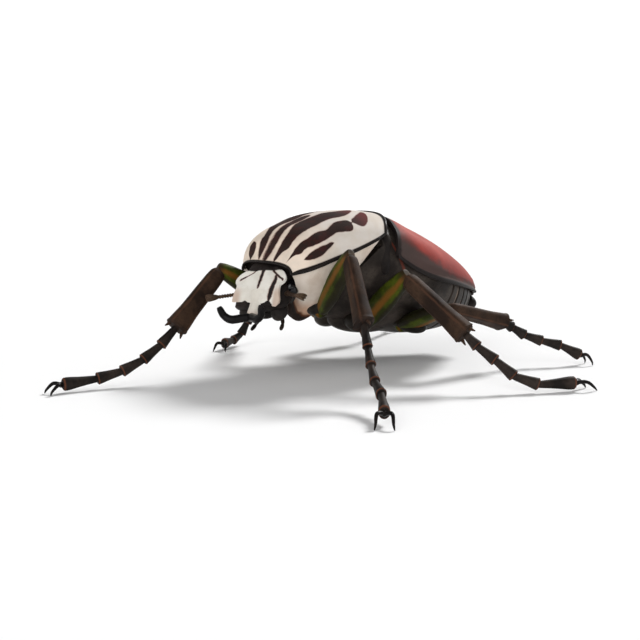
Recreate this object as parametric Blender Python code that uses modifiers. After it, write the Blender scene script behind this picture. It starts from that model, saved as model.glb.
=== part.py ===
# A goliath beetle, a male of 84 mm from horn to tail, standing on six legs as a life-size model.
# It faces -Y, its left side is +X, and the floor is z = 0. Lengths are in millimetres while the
# pieces are shaped, and place_nodes() turns them into metres and centres the model on the origin.

import math

import bmesh
import bpy
from mathutils import Matrix, Vector

MM = 0.001
GAP = 0.3

# Elytra and body behind the pronotum: distance back, half width, height of the side margin, and
# height of the back above that margin. Past CLOSE_FROM the sizes shrink to nothing at the tail.
HULL = (
    (-5.0, 19.2, 34.2, 8.4),
    (0.0, 20.2, 30.2, 12.5),
    (5.0, 21.2, 27.0, 15.2),
    (12.0, 21.5, 24.5, 14.8),
    (20.0, 21.5, 22.8, 13.8),
    (30.0, 21.5, 20.8, 12.8),
    (48.0, 21.5, 17.2, 12.2),
)
CLOSE_FROM = 12.0
TAIL = 46.7
CLOSING_POWER = 1.7
WIDTH_CLOSING = 0.72
RISE_CLOSING = 0.6
BACK_POWER = 2.1

ELYTRON_THICK = 1.1
ELYTRON_BASE = -1.0
ELYTRON_BOW = 7.0
ELYTRON_BOW_POWER = 1.6
SUTURE_LAP = 0.02
ELYTRON_END = 46.4

# Pronotum: the same four sizes, the depth of the breast below the margin, and how full the back is.
PRONOTUM = (
    (-28.6, 11.2, 27.3, 3.4, 8.6, 3.1),
    (-27.6, 12.7, 27.7, 6.1, 10.6, 3.0),
    (-26.0, 14.4, 28.3, 8.0, 12.6, 2.8),
    (-23.0, 16.0, 29.5, 9.2, 14.4, 2.55),
    (-20.0, 17.1, 30.8, 9.2, 16.6, 2.4),
    (-14.0, 19.3, 33.3, 9.0, 19.5, 2.3),
    (-8.0, 19.9, 35.8, 7.3, 22.0, 2.3),
    (-4.8, 19.2, 37.2, 5.4, 22.9, 2.3),
)
PRONOTUM_LOBE = 6.8
BREAST_SET_BACK = 7.5
BREAST_SLANT = 12.5
BREAST_SLANT_POWER = 0.75
BREAST_FULLNESS = 1.4
PRONOTUM_STATIONS = (-28.6, -27.6, -26.0, -23.0, -20.0, -16.0, -12.0, -8.0, -6.0, -4.8)

# Depth of the belly below the margin, and how full its lower section is.
BELLY = (
    (-5.0, 17.2, 1.35),
    (2.0, 16.8, 1.38),
    (6.0, 17.0, 1.38),
    (10.0, 16.4, 1.40),
    (20.0, 15.2, 1.5),
    (30.0, 12.8, 1.75),
    (38.0, 9.4, 1.8),
    (44.0, 4.8, 1.9),
)
THORAX_FRONT = -4.4
THORAX_END = 20.8
STERNITES = 6
ABDOMEN_END = 43.4
STERNITE_STEP = 0.45

SCUTELLUM_FRONT = 2.35
SCUTELLUM_TIP = 12.0
SCUTELLUM_HALF_WIDTH = 4.6

# Head: place of the top of its hind edge, and its turns: to its left, down, and left side up.
HEAD_AT = Vector((0.0, -28.5, 28.9))
HEAD_TURN = math.radians(28.0)
HEAD_DOWN = math.radians(55.0)
HEAD_ROLL = math.radians(8.0)
HEAD_FULLNESS = 3.0
EYE_AT = Vector((7.2, 4.8, -3.4))
EYE_RADII = (1.9, 2.1, 2.1)
HORN_STEM = ((0.0, 3.4), (0.3, 2.6), (0.6, 1.7), (0.95, 1.5), (1.0, 1.0))
HORN_FORK = Vector((0.0, 15.3, -0.1))
HORN_ELBOW = Vector((4.0, 16.9, 2.2))
HORN_TIP = Vector((6.4, 15.0, 5.3))
ANTENNA_ROOT = Vector((6.4, 7.4, -2.3))
ANTENNA_END_LEFT = Vector((15.2, 10.3, 0.8))
ANTENNA_END_RIGHT = Vector((-12.8, 11.6, 4.0))
PALP = ((0.0, 0.0, 0.0), (0.9, 2.2, -0.9), (1.6, 4.2, -1.1), (2.0, 6.2, -0.5))
FLAGELLUM_BEADS = 6
BEAD = ((0.1, 0.34), (0.75, 0.5))
CLUB_LEAF = ((0.0, 0.5), (0.3, 0.85), (0.75, 0.8), (1.0, 0.3))

# Legs: the hip, the knee, the ankle, the end of each of the five foot joints, and the claw tips.
LEGS = {
    "fore_left": (
        (8.5, -17.5, 17.2), (24.0, -20.7, 32.0), (36.0, -26.0, 17.0),
        (39.2, -27.6, 12.4), (42.9, -29.8, 9.0), (47.2, -32.3, 6.3),
        (52.2, -34.8, 4.7), (58.6, -39.6, 2.7), (61.7, -42.3, 0.0),
    ),
    "fore_right": (
        (-8.5, -17.5, 17.2), (-12.5, -34.5, 27.5), (-10.5, -49.5, 13.3),
        (-10.2, -54.0, 9.3), (-10.2, -59.0, 6.1), (-10.5, -64.6, 3.8),
        (-11.1, -70.8, 2.6), (-11.7, -79.2, 2.1), (-11.7, -82.8, 0.0),
    ),
    "mid_left": (
        (8.5, -3.5, 12.3), (25.5, -3.9, 26.5), (41.9, 1.3, 13.2),
        (45.0, 2.2, 10.5), (49.3, 4.0, 7.5), (53.0, 6.4, 4.0),
        (56.8, 10.8, 2.1), (60.7, 19.5, 2.1), (61.8, 24.3, 0.0),
    ),
    "mid_right": (
        (-8.5, -3.5, 12.3), (-25.1, -5.2, 25.9), (-42.5, -0.5, 14.5),
        (-45.8, -1.8, 11.4), (-48.0, -3.9, 7.3), (-48.6, -5.8, 3.6),
        (-46.7, -10.0, 2.2), (-42.8, -15.7, 2.2), (-40.7, -18.7, 0.0),
    ),
    "hind_left": (
        (8.5, 11.0, 11.1), (27.0, 9.5, 17.8), (28.5, 30.1, 12.6),
        (28.8, 33.5, 11.0), (30.2, 37.2, 8.6), (33.0, 41.4, 6.9),
        (36.2, 45.6, 5.6), (39.2, 50.4, 2.8), (40.3, 53.0, 0.0),
    ),
    "hind_right": (
        (-8.5, 11.0, 11.1), (-27.0, 12.0, 19.0), (-29.5, 32.5, 13.0),
        (-30.8, 35.8, 11.0), (-32.7, 39.4, 8.4), (-35.2, 43.2, 6.4),
        (-38.0, 47.3, 4.9), (-41.4, 52.5, 2.8), (-43.2, 55.4, 0.0),
    ),
}
COXAE = {
    "fore": (Vector((6.0, -17.5, 18.6)), (5.0, 3.0, 2.8)),
    "mid": (Vector((6.6, -3.5, 13.2)), (4.8, 3.2, 2.8)),
    "hind": (Vector((8.0, 12.6, 12.3)), (8.0, 3.9, 2.7)),
}

# Turned outlines of the leg joints: share of the length, and radius.
FEMUR = ((0.0, 1.6), (0.1, 2.3), (0.3, 2.9), (0.6, 2.9), (0.85, 2.4), (0.97, 2.0), (1.06, 1.4))
TIBIA = ((0.0, 1.5), (0.06, 2.1), (0.3, 2.35), (0.7, 2.5), (0.93, 2.85), (1.0, 2.7))
FOOT_JOINT = ((-0.06, 0.6), (0.4, 0.85), (0.93, 1.3), (1.0, 1.2))
LAST_FOOT_JOINT = ((-0.06, 0.6), (0.3, 0.85), (0.9, 1.45), (1.0, 1.1))
FEMUR_FLAT = 0.72
TIBIA_FLAT = 0.72
FOOT_FLAT = 0.8
SPUR = 1.6
CLAW_SPREAD = 2.0

COLOURS = {
    "prothorax": ((0.80, 0.75, 0.66), 0.45),
    "head": ((0.82, 0.79, 0.70), 0.45),
    "horn": ((0.03, 0.025, 0.02), 0.35),
    "eye": ((0.01, 0.01, 0.012), 0.15),
    "antenna": ((0.09, 0.05, 0.03), 0.45),
    "palp": ((0.07, 0.04, 0.03), 0.45),
    "mouthparts": ((0.05, 0.04, 0.03), 0.5),
    "scutellum": ((0.05, 0.03, 0.025), 0.45),
    "elytron": ((0.52, 0.15, 0.12), 0.4),
    "mesepimeron": ((0.07, 0.06, 0.055), 0.5),
    "thorax": ((0.08, 0.07, 0.065), 0.5),
    "abdomen": ((0.09, 0.08, 0.07), 0.5),
    "pygidium": ((0.08, 0.07, 0.06), 0.5),
    "coxa": ((0.05, 0.05, 0.035), 0.45),
    "femur": ((0.09, 0.11, 0.03), 0.4),
    "tibia": ((0.07, 0.045, 0.03), 0.45),
    "tarsus": ((0.05, 0.04, 0.035), 0.45),
    "claws": ((0.02, 0.018, 0.016), 0.3),
}


def clear_scene():
    for obj in list(bpy.data.objects):
        bpy.data.objects.remove(obj, do_unlink=True)


def new_collection(name):
    group = bpy.data.collections.new(name)
    bpy.context.scene.collection.children.link(group)
    return group


clear_scene()
parts = new_collection("goliath_beetle")
workbench = new_collection("workbench")


# Curves through named sizes

def through(keys, column, at):
    """Smooth curve through one column of a table of sizes whose first column is the distance back."""
    last = len(keys) - 1
    at = min(max(at, keys[0][0]), keys[last][0])
    i = max(k for k in range(last) if keys[k][0] <= at)
    x0, x1 = keys[i][0], keys[i + 1][0]
    y0, y1 = keys[i][column], keys[i + 1][column]

    def slope(k):
        before, after = max(k - 1, 0), min(k + 1, last)
        return (keys[after][column] - keys[before][column]) / (keys[after][0] - keys[before][0])

    span = x1 - x0
    t = (at - x0) / span
    return (
        (2 * t**3 - 3 * t**2 + 1) * y0
        + (t**3 - 2 * t**2 + t) * span * slope(i)
        + (3 * t**2 - 2 * t**3) * y1
        + (t**3 - t**2) * span * slope(i + 1)
    )


def power(value, exponent):
    return math.copysign(abs(value) ** exponent, value)


def hull_point(back, angle, inset=0.0):
    """Point of the elytra's outer face, from the back's middle line at 0 to the left margin at 90 degrees."""
    share = max(0.0, back - CLOSE_FROM) / (TAIL - CLOSE_FROM)
    left = max(0.0, 1.0 - share**CLOSING_POWER)
    half_width = through(HULL, 1, back) * left**WIDTH_CLOSING
    rise = through(HULL, 3, back) * left**RISE_CLOSING
    point = Vector((
        half_width * power(math.sin(angle), 2 / BACK_POWER),
        back,
        through(HULL, 2, back) + rise * power(max(math.cos(angle), 0.0), 2 / BACK_POWER),
    ))
    if inset:
        step = 0.02
        near, far = min(angle, math.pi / 2 - step), min(back, TAIL - 0.4)
        along = hull_point(far + 0.2, near) - hull_point(far - 0.2, near)
        across = hull_point(far, near + step) - hull_point(far, near - step)
        point -= inset * across.cross(along).normalized()
    return point


# Making and joining pieces

def new_piece(bm):
    mesh = bpy.data.meshes.new("piece")
    bm.to_mesh(mesh)
    bm.free()
    piece = bpy.data.objects.new("piece", mesh)
    workbench.objects.link(piece)
    return piece


def remove(piece):
    bpy.data.objects.remove(piece, do_unlink=True)


def axes(along, facing):
    """Rotation whose Z is along and whose X leans to facing."""
    z = along.normalized()
    y = z.cross(facing).normalized()
    return Matrix((y.cross(z), y, z)).transposed().to_4x4()


def ball(centre, radii, turn=None, segments=12, rings=7):
    bm = bmesh.new()
    bmesh.ops.create_uvsphere(bm, u_segments=segments, v_segments=rings, radius=1.0)
    place = Matrix.Translation(centre) @ (turn or Matrix()) @ Matrix.Diagonal((*radii, 1.0))
    bm.transform(place)
    return new_piece(bm)


def turned(start, end, outline, facing, flat, sides=12):
    """Turned body from start to end, wide towards facing and flattened across it."""
    start, end = Vector(start), Vector(end)
    length = (end - start).length
    bm = bmesh.new()
    ends = [(0.0, outline[0][0])], [(0.0, outline[-1][0])]
    profile = ends[0] + [(radius, share) for share, radius in outline] + ends[1]
    dots = [bm.verts.new((radius, 0.0, share * length)) for radius, share in profile]
    lines = [bm.edges.new(pair) for pair in zip(dots, dots[1:])]
    bmesh.ops.spin(
        bm, geom=dots + lines, cent=(0, 0, 0), axis=(0, 0, 1), angle=2 * math.pi, steps=sides,
        use_merge=True,
    )
    bmesh.ops.remove_doubles(bm, verts=bm.verts, dist=0.001)
    bmesh.ops.recalc_face_normals(bm, faces=bm.faces)
    bm.transform(Matrix.Diagonal((1.0, flat, 1.0, 1.0)))
    bm.transform(Matrix.Translation(start) @ axes(end - start, Vector(facing)))
    return new_piece(bm)


def tube(points, radii, sides_level=1):
    """Tube through the points, as a bevelled curve made into a closed mesh."""
    curve = bpy.data.curves.new("tube", "CURVE")
    curve.dimensions = "3D"
    curve.bevel_depth = 1.0
    curve.bevel_resolution = sides_level
    curve.use_fill_caps = True
    spline = curve.splines.new("POLY")
    spline.points.add(len(points) - 1)
    for dot, point, radius in zip(spline.points, points, radii):
        dot.co = (*point, 1.0)
        dot.radius = radius
    wire = bpy.data.objects.new("tube", curve)
    workbench.objects.link(wire)
    mesh = evaluated_mesh(wire)
    bm = bmesh.new()
    bm.from_mesh(mesh)
    bm.transform(wire.matrix_world)
    bmesh.ops.remove_doubles(bm, verts=bm.verts, dist=0.001)
    bmesh.ops.recalc_face_normals(bm, faces=bm.faces)
    remove(wire)
    bpy.data.meshes.remove(mesh)
    return new_piece(bm)


def loft(rings, noses=(None, None)):
    """Closed body through rings of points, with each end filled from a point in its middle."""
    bm = bmesh.new()
    loops = [[bm.verts.new(point) for point in ring] for ring in rings]
    count = len(rings[0])
    for near, far in zip(loops, loops[1:]):
        for i in range(count):
            j = (i + 1) % count
            bm.faces.new((near[i], near[j], far[j], far[i]))
    for loop, nose in zip((loops[0], loops[-1]), noses):
        middle = nose or sum((vert.co for vert in loop), Vector()) / count
        centre = bm.verts.new(middle)
        for i in range(count):
            bm.faces.new((loop[i], loop[(i + 1) % count], centre))
    bmesh.ops.recalc_face_normals(bm, faces=bm.faces)
    return new_piece(bm)


def evaluated_mesh(piece):
    bpy.context.view_layer.update()
    return bpy.data.meshes.new_from_object(piece.evaluated_get(bpy.context.evaluated_depsgraph_get()))


def is_closed(mesh):
    bm = bmesh.new()
    bm.from_mesh(mesh)
    closed = all(edge.is_manifold for edge in bm.edges)
    bm.free()
    return closed


def islands(bm):
    left = set(bm.faces)
    while left:
        found, edge_faces = set(), [left.pop()]
        while edge_faces:
            face = edge_faces.pop()
            found.add(face)
            for edge in face.edges:
                for other in edge.link_faces:
                    if other in left:
                        left.remove(other)
                        edge_faces.append(other)
        yield found


def volume(faces):
    total = 0.0
    for face in faces:
        a = face.verts[0].co
        for b, c in zip(face.verts[1:], face.verts[2:]):
            total += a.dot(b.co.cross(c.co)) / 6
    return total


def keep_largest(piece):
    bm = bmesh.new()
    bm.from_mesh(piece.data)
    bodies = sorted(islands(bm), key=volume)
    scraps = [face for body in bodies[:-1] for face in body]
    bmesh.ops.delete(bm, geom=scraps, context="FACES")
    bm.to_mesh(piece.data)
    bm.free()


def boolean(piece, others, operation):
    group = bpy.data.collections.new("operands")
    workbench.children.link(group)
    for other in others:
        group.objects.link(other)
    tool = piece.modifiers.new(operation.lower(), "BOOLEAN")
    tool.operation = operation
    tool.operand_type = "COLLECTION"
    tool.collection = group
    for solver in ("EXACT", "MANIFOLD"):
        tool.solver = solver
        mesh = evaluated_mesh(piece)
        if is_closed(mesh):
            break
    piece.modifiers.clear()
    piece.data = mesh
    for other in others:
        remove(other)
    bpy.data.collections.remove(group)
    keep_largest(piece)
    return piece


def fuse(pieces):
    return boolean(pieces[0], pieces[1:], "UNION") if len(pieces) > 1 else pieces[0]


def grown(piece, gap=0.0):
    """Copy of a piece, larger by the gap all round."""
    bm = bmesh.new()
    bm.from_mesh(piece.data)
    bm.normal_update()
    moves = [vert.normal * gap * min(vert.calc_shell_factor(), 3.0) for vert in bm.verts]
    for vert, move in zip(bm.verts, moves):
        vert.co += move
    return new_piece(bm)


def carve(piece, neighbours, gap=GAP):
    """Cuts a piece clear of its neighbours, so that they meet face to face across the gap."""
    return boolean(piece, [grown(neighbour, gap) for neighbour in neighbours], "DIFFERENCE")


def cut_flat(piece, point, keep_towards):
    """Cuts off one side of a plane and closes the cut with a flat."""
    bm = bmesh.new()
    bm.from_mesh(piece.data)
    cut = bmesh.ops.bisect_plane(
        bm, geom=list(bm.verts) + list(bm.edges) + list(bm.faces),
        plane_co=point, plane_no=keep_towards, clear_inner=True,
    )
    rim = [item for item in cut["geom_cut"] if isinstance(item, bmesh.types.BMEdge)]
    bmesh.ops.holes_fill(bm, edges=rim)
    bm.to_mesh(piece.data)
    bm.free()
    return piece


def finish(piece, name, kind):
    """Names a finished piece, gives it its material and puts it among the parts."""
    piece.name = name
    piece.data.name = name
    colour, roughness = COLOURS[kind]
    material = bpy.data.materials.new(name)
    material.use_nodes = True
    shader = material.node_tree.nodes["Principled BSDF"]
    shader.inputs["Base Color"].default_value = (*colour, 1.0)
    shader.inputs["Roughness"].default_value = roughness
    piece.data.materials.clear()
    piece.data.materials.append(material)
    piece.data.shade_smooth()
    piece.data.set_sharp_from_angle(angle=math.radians(35.0))
    workbench.objects.unlink(piece)
    parts.objects.link(piece)
    return piece


# Trunk

def pronotum_section(back, upper=16, lower=12):
    """Closed ring of the prothorax: its back, lobed at the hind edge, then its breast, a wedge below."""
    half_width, margin, rise, depth, fullness = (through(PRONOTUM, column, back) for column in range(1, 6))
    first, last = PRONOTUM_STATIONS[0], PRONOTUM_STATIONS[-1]
    share = (back - first) / (last - first)
    lobe = PRONOTUM_LOBE * share**3 - 0.6 * (back == first)
    ring = []
    for i in range(upper + 1):
        angle = math.pi / 2 * (2 * i / upper - 1)
        across = power(math.sin(angle), 2 / fullness)
        height = power(max(math.cos(angle), 0.0), 2 / fullness)
        bow = lobe * (1 - abs(across) ** 2.4)
        ring.append(Vector((half_width * across, back + bow, margin + rise * height)))
    for i in range(1, lower):
        angle = math.pi * i / lower
        across = power(math.cos(angle), 2 / BREAST_FULLNESS)
        drop = power(math.sin(angle), 2 / BREAST_FULLNESS)
        front, rear = first + BREAST_SET_BACK * drop, last - BREAST_SLANT * drop**BREAST_SLANT_POWER
        ring.append(Vector((half_width * across, front + (rear - front) * share, margin - depth * drop)))
    return ring


def make_prothorax(clear_of):
    """Prothorax cut clear of its neighbours, and its plain solid, which the legs are cut clear of."""
    rings = [pronotum_section(back) for back in PRONOTUM_STATIONS]
    body = loft(rings, (None, Vector((0.0, PRONOTUM_STATIONS[-1] - 3.0, 29.0))))
    solid = grown(body)
    return carve(body, clear_of), solid


def inner_point(back, angle, inset):
    """Point at this distance back, inside the hull's surface by the inset."""
    from_back = back
    for _ in range(4):
        point = hull_point(from_back, angle, inset)
        from_back += back - point.y
    return Vector((point.x, back, point.z))


def core_section(back, upper, lower, step=0.0, slant=0.0):
    """Ring of the trunk inside the elytra's inner face by the gap, slanting forward underneath."""
    inset = ELYTRON_THICK + GAP + 0.15
    ring = []
    for i in range(upper + 1):
        angle = math.pi / 2 * (2 * i / upper - 1)
        point = inner_point(back, abs(angle), inset)
        ring.append(Vector((math.copysign(point.x, angle), point.y, point.z)))
    edge = ring[-1]
    depth = through(BELLY, 1, back) - step
    fullness = through(BELLY, 2, back)
    for i in range(1, lower):
        angle = math.pi * i / lower
        across = power(math.cos(angle), 2 / fullness)
        drop = power(math.sin(angle), 2 / fullness)
        ahead = slant * drop**BREAST_SLANT_POWER
        half_width = edge.x * across * (1 - step * 0.03 * drop)
        ring.append(Vector((half_width, edge.y - ahead, edge.z - depth * drop)))
    return ring


def make_thorax(coxae, breast):
    stations = (THORAX_FRONT, -2.0, 2.0, 6.0, 10.0, 15.0, THORAX_END)
    slants = (BREAST_SLANT, 0.75 * BREAST_SLANT, 0.5 * BREAST_SLANT, 0.25 * BREAST_SLANT, 0.0, 0.0, 0.0)
    body = loft([core_section(back, 10, 14, slant=slant) for back, slant in zip(stations, slants)])
    sternum = ball(Vector((0.0, 6.0, 13.4)), (6.4, 14.0, 4.6), segments=14, rings=8)
    body = fuse([body, sternum])
    return carve(body, [*coxae, breast])


def make_abdomen():
    rings = []
    start = THORAX_END + GAP
    length = (ABDOMEN_END - start) / STERNITES
    for i in range(STERNITES):
        front = start + i * length
        rings.append(core_section(front, 8, 12, 2 * STERNITE_STEP if i else STERNITE_STEP))
        rings.append(core_section(front + 0.25 * length, 8, 12, STERNITE_STEP))
        rings.append(core_section(front + 0.96 * length, 8, 12, 0.0))
    return loft(rings)


def make_pygidium(abdomen):
    lean = Matrix.Rotation(math.radians(-38.0), 4, "X")
    plate = ball(Vector((0.0, 41.9, 15.2)), (7.2, 3.4, 3.0), lean, 16, 9)
    return carve(plate, [abdomen])


def make_elytron(side, scutellum):
    """One wing case: a shaped grid given its thickness inwards, cut clear of the scutellum."""
    across, along = 12, 15
    bm = bmesh.new()
    bmesh.ops.create_grid(bm, x_segments=across, y_segments=along, size=0.5)
    for vert in bm.verts:
        share, length = vert.co.x + 0.5, vert.co.y + 0.5
        angle = share * math.pi / 2 - SUTURE_LAP * (1 - share)
        base = ELYTRON_BASE + ELYTRON_BOW * (1 - abs(math.sin(angle)) ** ELYTRON_BOW_POWER)
        back = base + (ELYTRON_END - base) * (1 - (1 - length) ** 1.5)
        point = hull_point(back, angle)
        vert.co = (side * point.x, point.y, point.z)
    bmesh.ops.triangulate(bm, faces=bm.faces)
    bmesh.ops.recalc_face_normals(bm, faces=bm.faces)
    if sum(face.normal.z for face in bm.faces) < 0:
        bmesh.ops.reverse_faces(bm, faces=bm.faces)
    case = new_piece(bm)
    shell = case.modifiers.new("thickness", "SOLIDIFY")
    shell.thickness = ELYTRON_THICK
    shell.offset = -1.0
    shell.use_even_offset = True
    case.data = evaluated_mesh(case)
    case.modifiers.clear()
    cut_flat(case, (side * GAP / 2, 0, 0), (side, 0, 0))
    return carve(case, [scutellum])


def make_scutellum():
    """Shield between the wing cases: a triangle of the hull's own surface, given thickness."""
    across, along = 6, 6
    bm = bmesh.new()
    bmesh.ops.create_grid(bm, x_segments=across, y_segments=along, size=0.5)
    for vert in bm.verts:
        share, length = 2 * vert.co.x, vert.co.y + 0.5
        half_width = SCUTELLUM_HALF_WIDTH * (1 - length**1.2) + 0.35
        back = SCUTELLUM_FRONT + (SCUTELLUM_TIP - SCUTELLUM_FRONT) * length
        edge = hull_point(back, math.radians(20.0)).x
        wanted = share * half_width
        angle = math.radians(20.0) * (abs(wanted) / edge) ** (BACK_POWER / 2)
        point = hull_point(back, angle)
        vert.co = (wanted, point.y, point.z + 0.15)
    bmesh.ops.triangulate(bm, faces=bm.faces)
    bmesh.ops.recalc_face_normals(bm, faces=bm.faces)
    if sum(face.normal.z for face in bm.faces) < 0:
        bmesh.ops.reverse_faces(bm, faces=bm.faces)
    shield = new_piece(bm)
    shell = shield.modifiers.new("thickness", "SOLIDIFY")
    shell.thickness = ELYTRON_THICK
    shell.offset = -1.0
    shield.data = evaluated_mesh(shield)
    shield.modifiers.clear()
    return shield


def make_mesepimeron(side, thorax_parts):
    """Side plate in the wedge between the pronotum's hind corner and the shoulder of the elytron."""
    plate = ball(Vector((side * 17.1, -2.6, 31.8)), (2.0, 2.2, 5.6), None, 10, 8)
    return carve(plate, thorax_parts)


# Head

def head_matrix():
    turn = Matrix.Rotation(HEAD_TURN, 4, "Z")
    flip = Matrix(((1, 0, 0, 0), (0, -1, 0, 0), (0, 0, 1, 0), (0, 0, 0, 1)))
    down = Matrix.Rotation(HEAD_DOWN, 4, "X")
    roll = Matrix.Rotation(-HEAD_ROLL, 4, "Y")
    return Matrix.Translation(HEAD_AT) @ turn @ down @ roll @ flip


def on_head(piece):
    """Moves a piece from the head's own frame, where +Y is ahead of it, to the model's."""
    place = head_matrix()
    piece.data.transform(place)
    piece.data.flip_normals()
    return piece


def head_ring(ahead, half_width, top, bottom):
    ring = []
    for i in range(16):
        angle = 2 * math.pi * i / 16
        across = power(math.cos(angle), 2 / HEAD_FULLNESS)
        up = power(math.sin(angle), 2 / HEAD_FULLNESS)
        middle, half_height = (top + bottom) / 2, (top - bottom) / 2
        ring.append(Vector((half_width * across, ahead, middle + half_height * up)))
    return ring


def make_head(eyes):
    """Head with the stem of the horn, and its plain solids, which neighbours are cut clear of."""
    capsule = loft([
        head_ring(-3.4, 5.4, -1.6, -6.2),
        head_ring(-1.0, 6.8, -0.3, -7.0),
        head_ring(2.5, 7.2, 0.2, -7.2),
        head_ring(6.0, 7.6, 0.3, -6.6),
        head_ring(9.0, 7.6, 0.1, -5.4),
        head_ring(11.2, 7.2, -0.2, -3.6),
    ])
    stem = turned((0, 8.0, -1.2), HORN_FORK, HORN_STEM, (1, 0, 0), 0.85)
    lobes = [ball(Vector((side * 6.6, 10.4, -1.3)), (1.7, 2.7, 1.6), None, 10, 6) for side in (-1, 1)]
    solids = [on_head(grown(solid)) for solid in (capsule, stem, *lobes)]
    head = on_head(fuse([capsule, stem, *lobes]))
    return carve(head, eyes), solids


def make_eye(side):
    centre = Vector((side * EYE_AT.x, EYE_AT.y, EYE_AT.z))
    return on_head(ball(centre, EYE_RADII, segments=14, rings=8))


def make_horn(side, clear_of):
    """One arm of the forked horn, out from the end of the stem and up to a blunt tip."""
    def point(place):
        return Vector((side * place.x, place.y, place.z))

    root = Vector((side * 0.55, HORN_FORK.y - 0.6, HORN_FORK.z))
    bend = (point(HORN_ELBOW) + point(HORN_TIP)) / 2 + Vector((side * 0.5, 0.4, -0.4))
    arm = tube([root, point(HORN_ELBOW) * 0.5 + root * 0.5, point(HORN_ELBOW), bend, point(HORN_TIP)],
               [1.15, 1.15, 1.1, 0.95, 0.8], 2)
    cut_flat(arm, (side * GAP / 2, 0, 0), (side, 0, 0))
    return carve(on_head(arm), clear_of)


def make_antenna(side, clear_of, end):
    """Scape, six small joints and a club of three leaves."""
    root = Vector((side * ANTENNA_ROOT.x, ANTENNA_ROOT.y, ANTENNA_ROOT.z))
    run = end - root
    elbow = root + 0.22 * run + Vector((0.0, -0.2, 0.5))
    club = root + 0.62 * run + Vector((0.0, 0.2, 0.6))
    pieces = [turned(root, elbow, ((-0.1, 0.4), (0.5, 0.55), (1.0, 0.7)), (0, 0, 1), 1.0, 8)]
    beads = []
    for i in range(FLAGELLUM_BEADS):
        beads += [((i + share) / FLAGELLUM_BEADS, radius) for share, radius in BEAD]
    pieces.append(turned(elbow, club, ((-0.06, 0.3), *beads, (1.06, 0.3)), (0, 0, 1), 1.0, 6))
    across = run.cross(Vector((0, 0, 1))).normalized()
    for leaf in (-1, 0, 1):
        aim = (end - club) + across * leaf * 0.85
        tip = club + aim * (1.0 if leaf else 1.03)
        facing = across.cross(aim)
        pieces.append(turned(club - 0.15 * aim, tip, CLUB_LEAF, facing, 0.42, 8))
    return carve(on_head(fuse(pieces)), clear_of)


def make_palp(side, clear_of):
    root = Vector((side * 2.6, 8.6, -6.8))
    points = [root + Vector((side * out, ahead, up)) for out, ahead, up in PALP]
    return carve(on_head(tube(points, [0.5, 0.6, 0.65, 0.35])), clear_of)


def make_mouthparts(clear_of):
    plate = ball(Vector((0.0, 8.6, -5.3)), (4.6, 4.0, 1.9), None, 14, 8)
    lobes = [ball(Vector((side * 4.9, 11.0, -4.2)), (2.3, 2.8, 2.0), None, 10, 7) for side in (-1, 1)]
    return carve(on_head(fuse([plate, *lobes])), clear_of)


# Legs

def bend_side(points, i):
    """Direction across the axis of a leg joint in which the leg bends."""
    into, out = points[i] - points[i - 1], points[i + 1] - points[i]
    side = into.normalized() - out.normalized()
    return side if side.length > 0.05 else Vector((0, 0, 1))


def make_coxa(place, side):
    centre, radii = COXAE[place]
    lean = Matrix.Rotation(side * math.radians(12.0), 4, "Y")
    return ball(Vector((side * centre.x, centre.y, centre.z)), radii, lean)


def make_femur(points, coxa, trunk):
    shaft = turned(points[0], points[1], FEMUR, bend_side(points, 1), FEMUR_FLAT, 12)
    solid = grown(shaft)
    trochanter = ball(points[0], (1.9, 1.9, 1.9), None, 10, 7)
    return carve(fuse([shaft, trochanter]), [coxa, *trunk]), solid


def make_tibia(points, femur):
    facing = bend_side(points, 1)
    shin = points[2] - points[1]
    start = points[1] + 0.03 * shin
    shaft = turned(start, points[2], TIBIA, facing, TIBIA_FLAT, 12)
    solid = grown(shaft)
    pieces = [shaft]
    out = (facing - shin * (facing.dot(shin) / shin.length_squared)).normalized()
    across = shin.normalized().cross(out)
    for lean in (-1, 1):
        root = points[2] + out * lean * 1.5 - shin.normalized() * 1.4
        tip = root + shin.normalized() * (1.2 + SPUR) + out * lean * 1.1 + across * 0.2
        pieces.append(turned(root, tip, ((0.0, 0.7), (0.6, 0.5), (1.0, 0.18)), across, 1.0, 6))
    return carve(fuse(pieces), [femur]), solid


def make_tarsus(points, tibia):
    pieces = []
    for i in range(2, 7):
        outline = LAST_FOOT_JOINT if i == 6 else FOOT_JOINT
        start = points[i] - (points[i + 1] - points[i]) * 0.02
        pieces.append(turned(start, points[i + 1], outline, (0, 0, 1), FOOT_FLAT, 8))
    solid = grown(pieces[-1])
    return carve(fuse(pieces), [tibia]), solid


def make_claws(points, tarsus):
    """Two hooked claws on a short stalk, each standing on a small flat at the floor."""
    wrist, tips = points[7], points[8]
    ahead = Vector((tips.x - wrist.x, tips.y - wrist.y, 0.0))
    side = Vector((-ahead.y, ahead.x, 0.0)).normalized()
    pieces = [ball(wrist + ahead * 0.08, (0.75, 0.75, 0.7), None, 8, 6)]
    for lean in (-1, 1):
        tip = tips + side * lean * CLAW_SPREAD
        knuckle = wrist + ahead * 0.45 + side * lean * CLAW_SPREAD * 0.75 + Vector((0, 0, 0.25))
        low = tip.lerp(knuckle, 0.42) + ahead.normalized() * 0.45
        hook = [wrist + ahead * 0.05, knuckle, low, tip + Vector((0, 0, 0.12))]
        pieces.append(tube(hook, [0.55, 0.55, 0.45, 0.3]))
    return cut_flat(carve(fuse(pieces), [tarsus]), (0, 0, 0), (0, 0, 1))


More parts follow.
